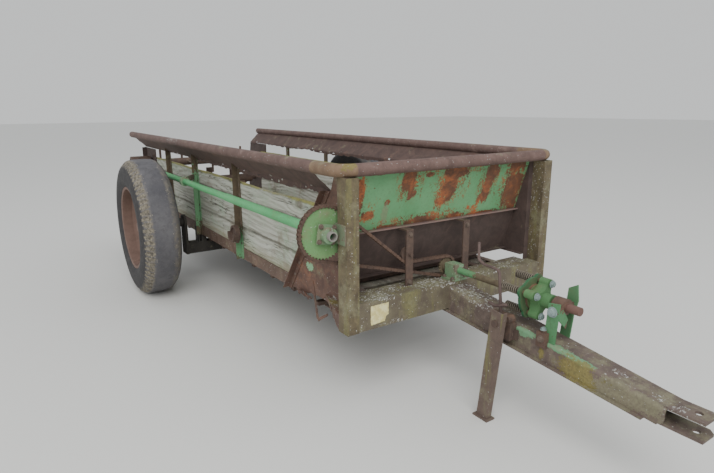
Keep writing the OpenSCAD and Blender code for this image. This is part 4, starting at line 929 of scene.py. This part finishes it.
def flareColumn(y, side):
    # the sheet's face at one place, in from the rail and down to its edge
    column = []
    for share, lift in flare["slope"]:
        wave = lift + 0.0022 * ripple(y * 5, share * 2, side * 3.0)
        bulge = wave * min(1.0, (1 - share) * 6, share * 6) * 0.7
        column.append((flare["outX"] + (flare["foldX"] - flare["outX"]) * share - bulge,
                       flare["outZ"] + (flare["foldZ"] - flare["outZ"]) * share + bulge))
    foot = min(flareFoot(y, side), flare["foldZ"] - 0.004)
    for r in range(1, flare["rows"] + 1):
        share = r / flare["rows"]
        wave = 0.0035 * ripple(y * 9, share * 1.5, side * 5.0) * share
        column.append((flare["foldX"] + min(0.0, wave), flare["foldZ"] + (foot - flare["foldZ"]) * share))
    return column


def soundCells(lengths, columns, side):
    # the cells of the sheet that no hole has taken
    last = len(flare["slope"]) + flare["rows"] - 2
    kept = set()
    for k, y in enumerate(lengths[:-1]):
        for r in range(last + 1):
            z = columns[k][r][1]
            hole = ripple(y * 21, z * 60, side * 11.0)
            low = clamped((flare["holeTop"] - z) / flare["holeFade"])
            if not (low > 0.2 and hole > flare["holeFrom"] - flare["holeMore"] * low and 0 < r < last):
                kept.add((k, r))
    return kept


def makeFlare(node, side):
    long = round((flare["rear"] - flare["front"]) / flare["cell"])
    lengths = [flare["front"] + (flare["rear"] - flare["front"]) * k / long for k in range(long + 1)]
    columns = [flareColumn(y, side) for y in lengths]
    kept, sloped = soundCells(lengths, columns, side), len(flare["slope"]) - 1
    corners, faces, known = [], [], {}

    def corner(k, r, under):
        if (k, r, under) not in known:
            x, z = columns[k][r]
            if under:
                x -= flare["thick"] * (0.7 if r < sloped else 1.0)
                z += flare["thick"] * (0.7 if r < sloped else 0.0)
            known[k, r, under] = len(corners)
            corners.append(at(side * x, lengths[k], z))
        return known[k, r, under]

    for k, r in sorted(kept):
        ring = [(k, r), (k + 1, r), (k + 1, r + 1), (k, r + 1)]
        faces.append([corner(*c, False) for c in ring])
        faces.append([corner(*c, True) for c in reversed(ring)])
        for (a, b), (dk, dr) in zip(zip(ring, ring[1:] + ring[:1]), ((0, -1), (1, 0), (0, 1), (-1, 0))):
            if (k + dk, r + dr) not in kept:
                faces.append([corner(*b, False), corner(*a, False), corner(*a, True), corner(*b, True)])
    pile = Pile()
    pile.add(corners, [f if side > 0 else reversed(f) for f in faces])
    made = piece(node + "Torn", pile, steel["flare"], "frame", 50)
    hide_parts(node)


makeFlare("flare_right", -1)
makeFlare("flare_left", 1)
print("flared sheets torn")

boards = {"outer": 0.6, "thick": 0.028, "rear": 3.82, "slantTop": 1.1, "slantY": 0.256, "slantRun": 0.727,
          "heights": [(0.497, 0.645), (0.6458, 0.844), (0.8448, 0.959)], "gap": 0.004, "cell": 0.03,
          "row": 0.014, "cup": 0.0022, "chip": 0.016, "topChip": 0.012}


def slantAt(z):
    return boards["slantY"] + (boards["slantTop"] - z) * boards["slantRun"]


def boardRing(tall):                     # share of the thickness (1 is outside) and of the height
    rows = max(5, round(tall / boards["row"]))
    back = [(0.0, r / rows) for r in range(rows + 1)]
    face = [(1.0, 1 - r / rows) for r in range(rows + 1)]
    return back + [(0.3, 1.0), (0.7, 1.0)] + face + [(0.5, 0.0)]


def boardCorner(n, side, share, across, up):
    low, high = boards["heights"][n]
    z = low + (high - low) * up
    front = slantAt(z) + boards["gap"]
    y = front + (boards["rear"] - front) * share
    where = Vector((y * 2.3, z * 9, side * 4.0 + n * 3))
    rough = 0.0012 * noise.noise(where * 3) + 0.0016 * ripple(y * 0.7, z * 70, n * 5.0)
    edge = 1.0 if up in (0.0, 1.0) else 0.0
    chip = ripple(y * 6.5, n * 9.0, side * 2.0 + up * 4) - 0.25
    chip = max(0.0, chip) * boards["chip"] * edge
    if n == 2 and up == 1.0:             # the top edge has lost more
        chip += max(0.0, ripple(y * 1.4, side * 3.0, 8.5) + 0.1) * boards["topChip"]
    x = boards["outer"] - boards["thick"] * (1 - across)
    if across in (0.0, 1.0):
        sink = 0.0008 + abs(rough) + boards["cup"] * (abs(up - 0.5) * 2) ** 2 + 0.002 * edge
        x += -sink if across else sink
    return at(side * x, y, z - chip if up == 1.0 else z + chip * 0.5)


def makeBoards(node, side):
    pile = Pile()
    long = round(boards["rear"] / boards["cell"])
    for n, (low, high) in enumerate(boards["heights"]):
        ring = boardRing(high - low)
        count = len(ring)
        corners = [boardCorner(n, side, k / long, *place) for k in range(long + 1) for place in ring]
        faces = [face for k in range(long) for face in strip(k * count, (k + 1) * count, count, True)]
        faces.append(tuple(range(count)))
        faces.append(tuple(long * count + i for i in range(count - 1, -1, -1)))
        pile.add(corners, [reversed(f) if side < 0 else f for f in faces])
    made = piece(node + "Aged", pile, boardWood, "frame", 45)
    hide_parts(node)


makeBoards("side_boards_right", -1)
makeBoards("side_boards_left", 1)
print("side boards aged")

bearing = {"x": -0.754, "z": 0.89, "radius": 0.049}
wheelBolts = {"count": 8, "circle": 0.115, "inset": 0.0795, "across": 0.028, "height": 0.016}
boltSets = [       # places (x counted outwards), way, width across, height, kind, sides of the machine
    # stakes to the boards, the slanted angle, the rear end
    ([(0.605, y, z) for y in (1.5, 2.395, 3.185) for z in (0.53, 0.62, 0.67, 0.82, 0.87, 0.94)],
     (1, 0, 0), 0.019, 0.006, "round", (-1, 1)),
    ([(0.6085, slantAt(z) + 0.018, z) for z in (0.52, 0.6, 0.7, 0.8, 0.9)],
     (1, 0, 0), 0.02, 0.006, "round", (-1, 1)),
    ([(0.606, 3.78, z) for z in (0.5, 0.66, 0.82, 0.98)], (1, 0, 0), 0.019, 0.008, "hex", (-1, 1)),
    # straps on the beam, the stand's through bolt, its clamp, the jack's bracket
    ([(x, 0.084, z) for x in (-0.27, 0.124) for z in (0.575, 0.825)], (0, -1, 0), 0.019, 0.008, "hex", (1,)),
    ([(0.062, -0.618, 0.594)], (1, 0, 0), 0.032, 0.013, "zinc", (-1, 1)),
    ([(0.084, -0.587, 0.466)], (1, 0, 0), 0.022, 0.01, "hex", (-1,)),
    ([(0.071, -0.587, 0.505)], (0, 0, 1), 0.019, 0.008, "zinc", (-1,)),
    ([(0.092, -0.395, 0.434)], (1, 0, 0), 0.024, 0.01, "hex", (-1,)),
    ([(0.092, -0.43, 0.434)], (1, 0, 0), 0.02, 0.008, "hex", (-1,)),
    # bearing block on the beam, the side shaft's flange bearing
    ([(x, y, 0.566) for x in (-0.038, 0.038) for y in (0.012, 0.072)], (0, 0, 1), 0.017, 0.008, "hex", (1,)),
    ([(bearing["x"] + u, 0.082, bearing["z"] + v) for u, v in evenOutline(bearing["radius"], 4, 0.4)],
     (0, -1, 0), 0.016, 0.008, "hex", (1,))]
for places, (wx, wy, wz), across, height, kind, sides in boltSets:
    boltRows += [("frame", (side * x, y, z), (side * wx, wy, wz), across, height, kind)
                 for side in sides for x, y, z in places]
for body, side in (("wheel_right", -1), ("wheel_left", 1)):
    seat = side * (wheels["out"] - wheelBolts["inset"])
    boltRows += [(body, (seat, wheels["axle"] + u, wheels["height"] + v), (side, 0, 0),
                  wheelBolts["across"], wheelBolts["height"], "hex")
                 for u, v in evenOutline(wheelBolts["circle"], wheelBolts["count"])]


def makeBolts():
    piles = {}
    for body, place, way, across, height, kind in boltRows:
        pile = piles.setdefault((body, "zinc" if kind == "zinc" else "bolt"), Pile())
        if kind == "round":
            pile.roundHead(at(*place), Vector(way), across / 2)
        else:
            pile.hexHead(at(*place), Vector(way), across, height, across * 0.75)
    for (body, finishName), pile in piles.items():
        piece(body + finishName.capitalize() + "s", pile, steel[finishName], body, 30)
    print("bolts:", len(boltRows))


makeBolts()

sticker = {"low": (-0.57, 0.437), "high": (-0.465, 0.534), "thick": 0.0006, "steps": 12, "bite": 0.004,
           "cut": (0.022, 0.03), "tear": (0.006, 0.008), "colours": [(222, 214, 160), (200, 186, 120)],
           "dirt": (130, 118, 84)}


def makeSticker():
    made, place = newMaterial("agedSticker")
    fine = cloud(place, 160.0, 4.0, 0.7)
    colour = shades(cloud(place, 30.0, 4.0, 0.6).step(0.35, 0.65), *sticker["colours"])
    colour = blendColours(fine.step(0.56, 0.7) * 0.6, colour, paint(*sticker["dirt"]))
    closeMaterial(place, colour, 0.55 + fine * 0.3, fine, 0.0004, 0.5)
    (x0, z0), (x1, z1) = sticker["low"], sticker["high"]
    cutX, cutZ = x1 - sticker["cut"][0], z0 + sticker["cut"][1]               # the torn corner
    low, high = sticker["tear"]
    corners = [(x0, z0), (cutX, z0 + low), (cutX + low, cutZ), (x1, cutZ + high), (x1, z1), (x0, z1)]
    outline, steps = [], sticker["steps"]
    for (ax, az), (bx, bz) in zip(corners, corners[1:] + corners[:1]):
        for k in range(steps):
            x, z = ax + (bx - ax) * k / steps, az + (bz - az) * k / steps
            bite = sticker["bite"] * max(0.0, ripple(x * 90, z * 90, 2.0))
            outline.append((x + (bite if x < (x0 + x1) / 2 else -bite),
                            z + (bite if z < (z0 + z1) / 2 else -bite)))
    pile = Pile()
    pile.slab(outline, at(0, -sticker["thick"] / 2 - 0.0002, 0), Vector((1, 0, 0)), Vector((0, 0, 1)),
              sticker["thick"])
    piece("blankSticker", pile, made, "frame")


makeSticker()
print("sticker made")

flakes = {"count": 16, "front": 0.5, "rear": 0.66, "out": 0.6085, "height": 0.448, "size": 0.02,
          "sides": 7, "thick": 0.0025, "spread": (0.006, 0.014)}


def makeFlakes():
    # torn, curled remains under the right end sheet
    pile = Pile()
    for k in range(flakes["count"]):
        turn = [ripple(k * 3.7, n * 2.9, 1.3) for n in range(5)]
        y = flakes["front"] + (flakes["rear"] - flakes["front"]) * (k + 0.5) / flakes["count"]
        out, down = [reach * (1 + turn[i]) for i, reach in enumerate(flakes["spread"])]
        middle = at(-flakes["out"] - out, y, flakes["height"] - down)
        right = Vector((0.3 * turn[2], 1, 0.5 * turn[3])).normalized()
        up = Vector((-0.5 + turn[4], 0.2 * turn[0], 1)).normalized()
        size = flakes["size"] * (0.8 + 0.6 * turn[2])
        outline = [(u * (1 + 0.5 * ripple(k, n, 4.0)), v * (1 + 0.5 * ripple(k, n, 9.0)))
                   for n, (u, v) in enumerate(evenOutline(size, flakes["sides"]))]
        pile.slab(outline, middle, right, up, flakes["thick"])
    piece("sheetFlakes", pile, steel["sheet"], "frame")


makeFlakes()
print("flakes made")
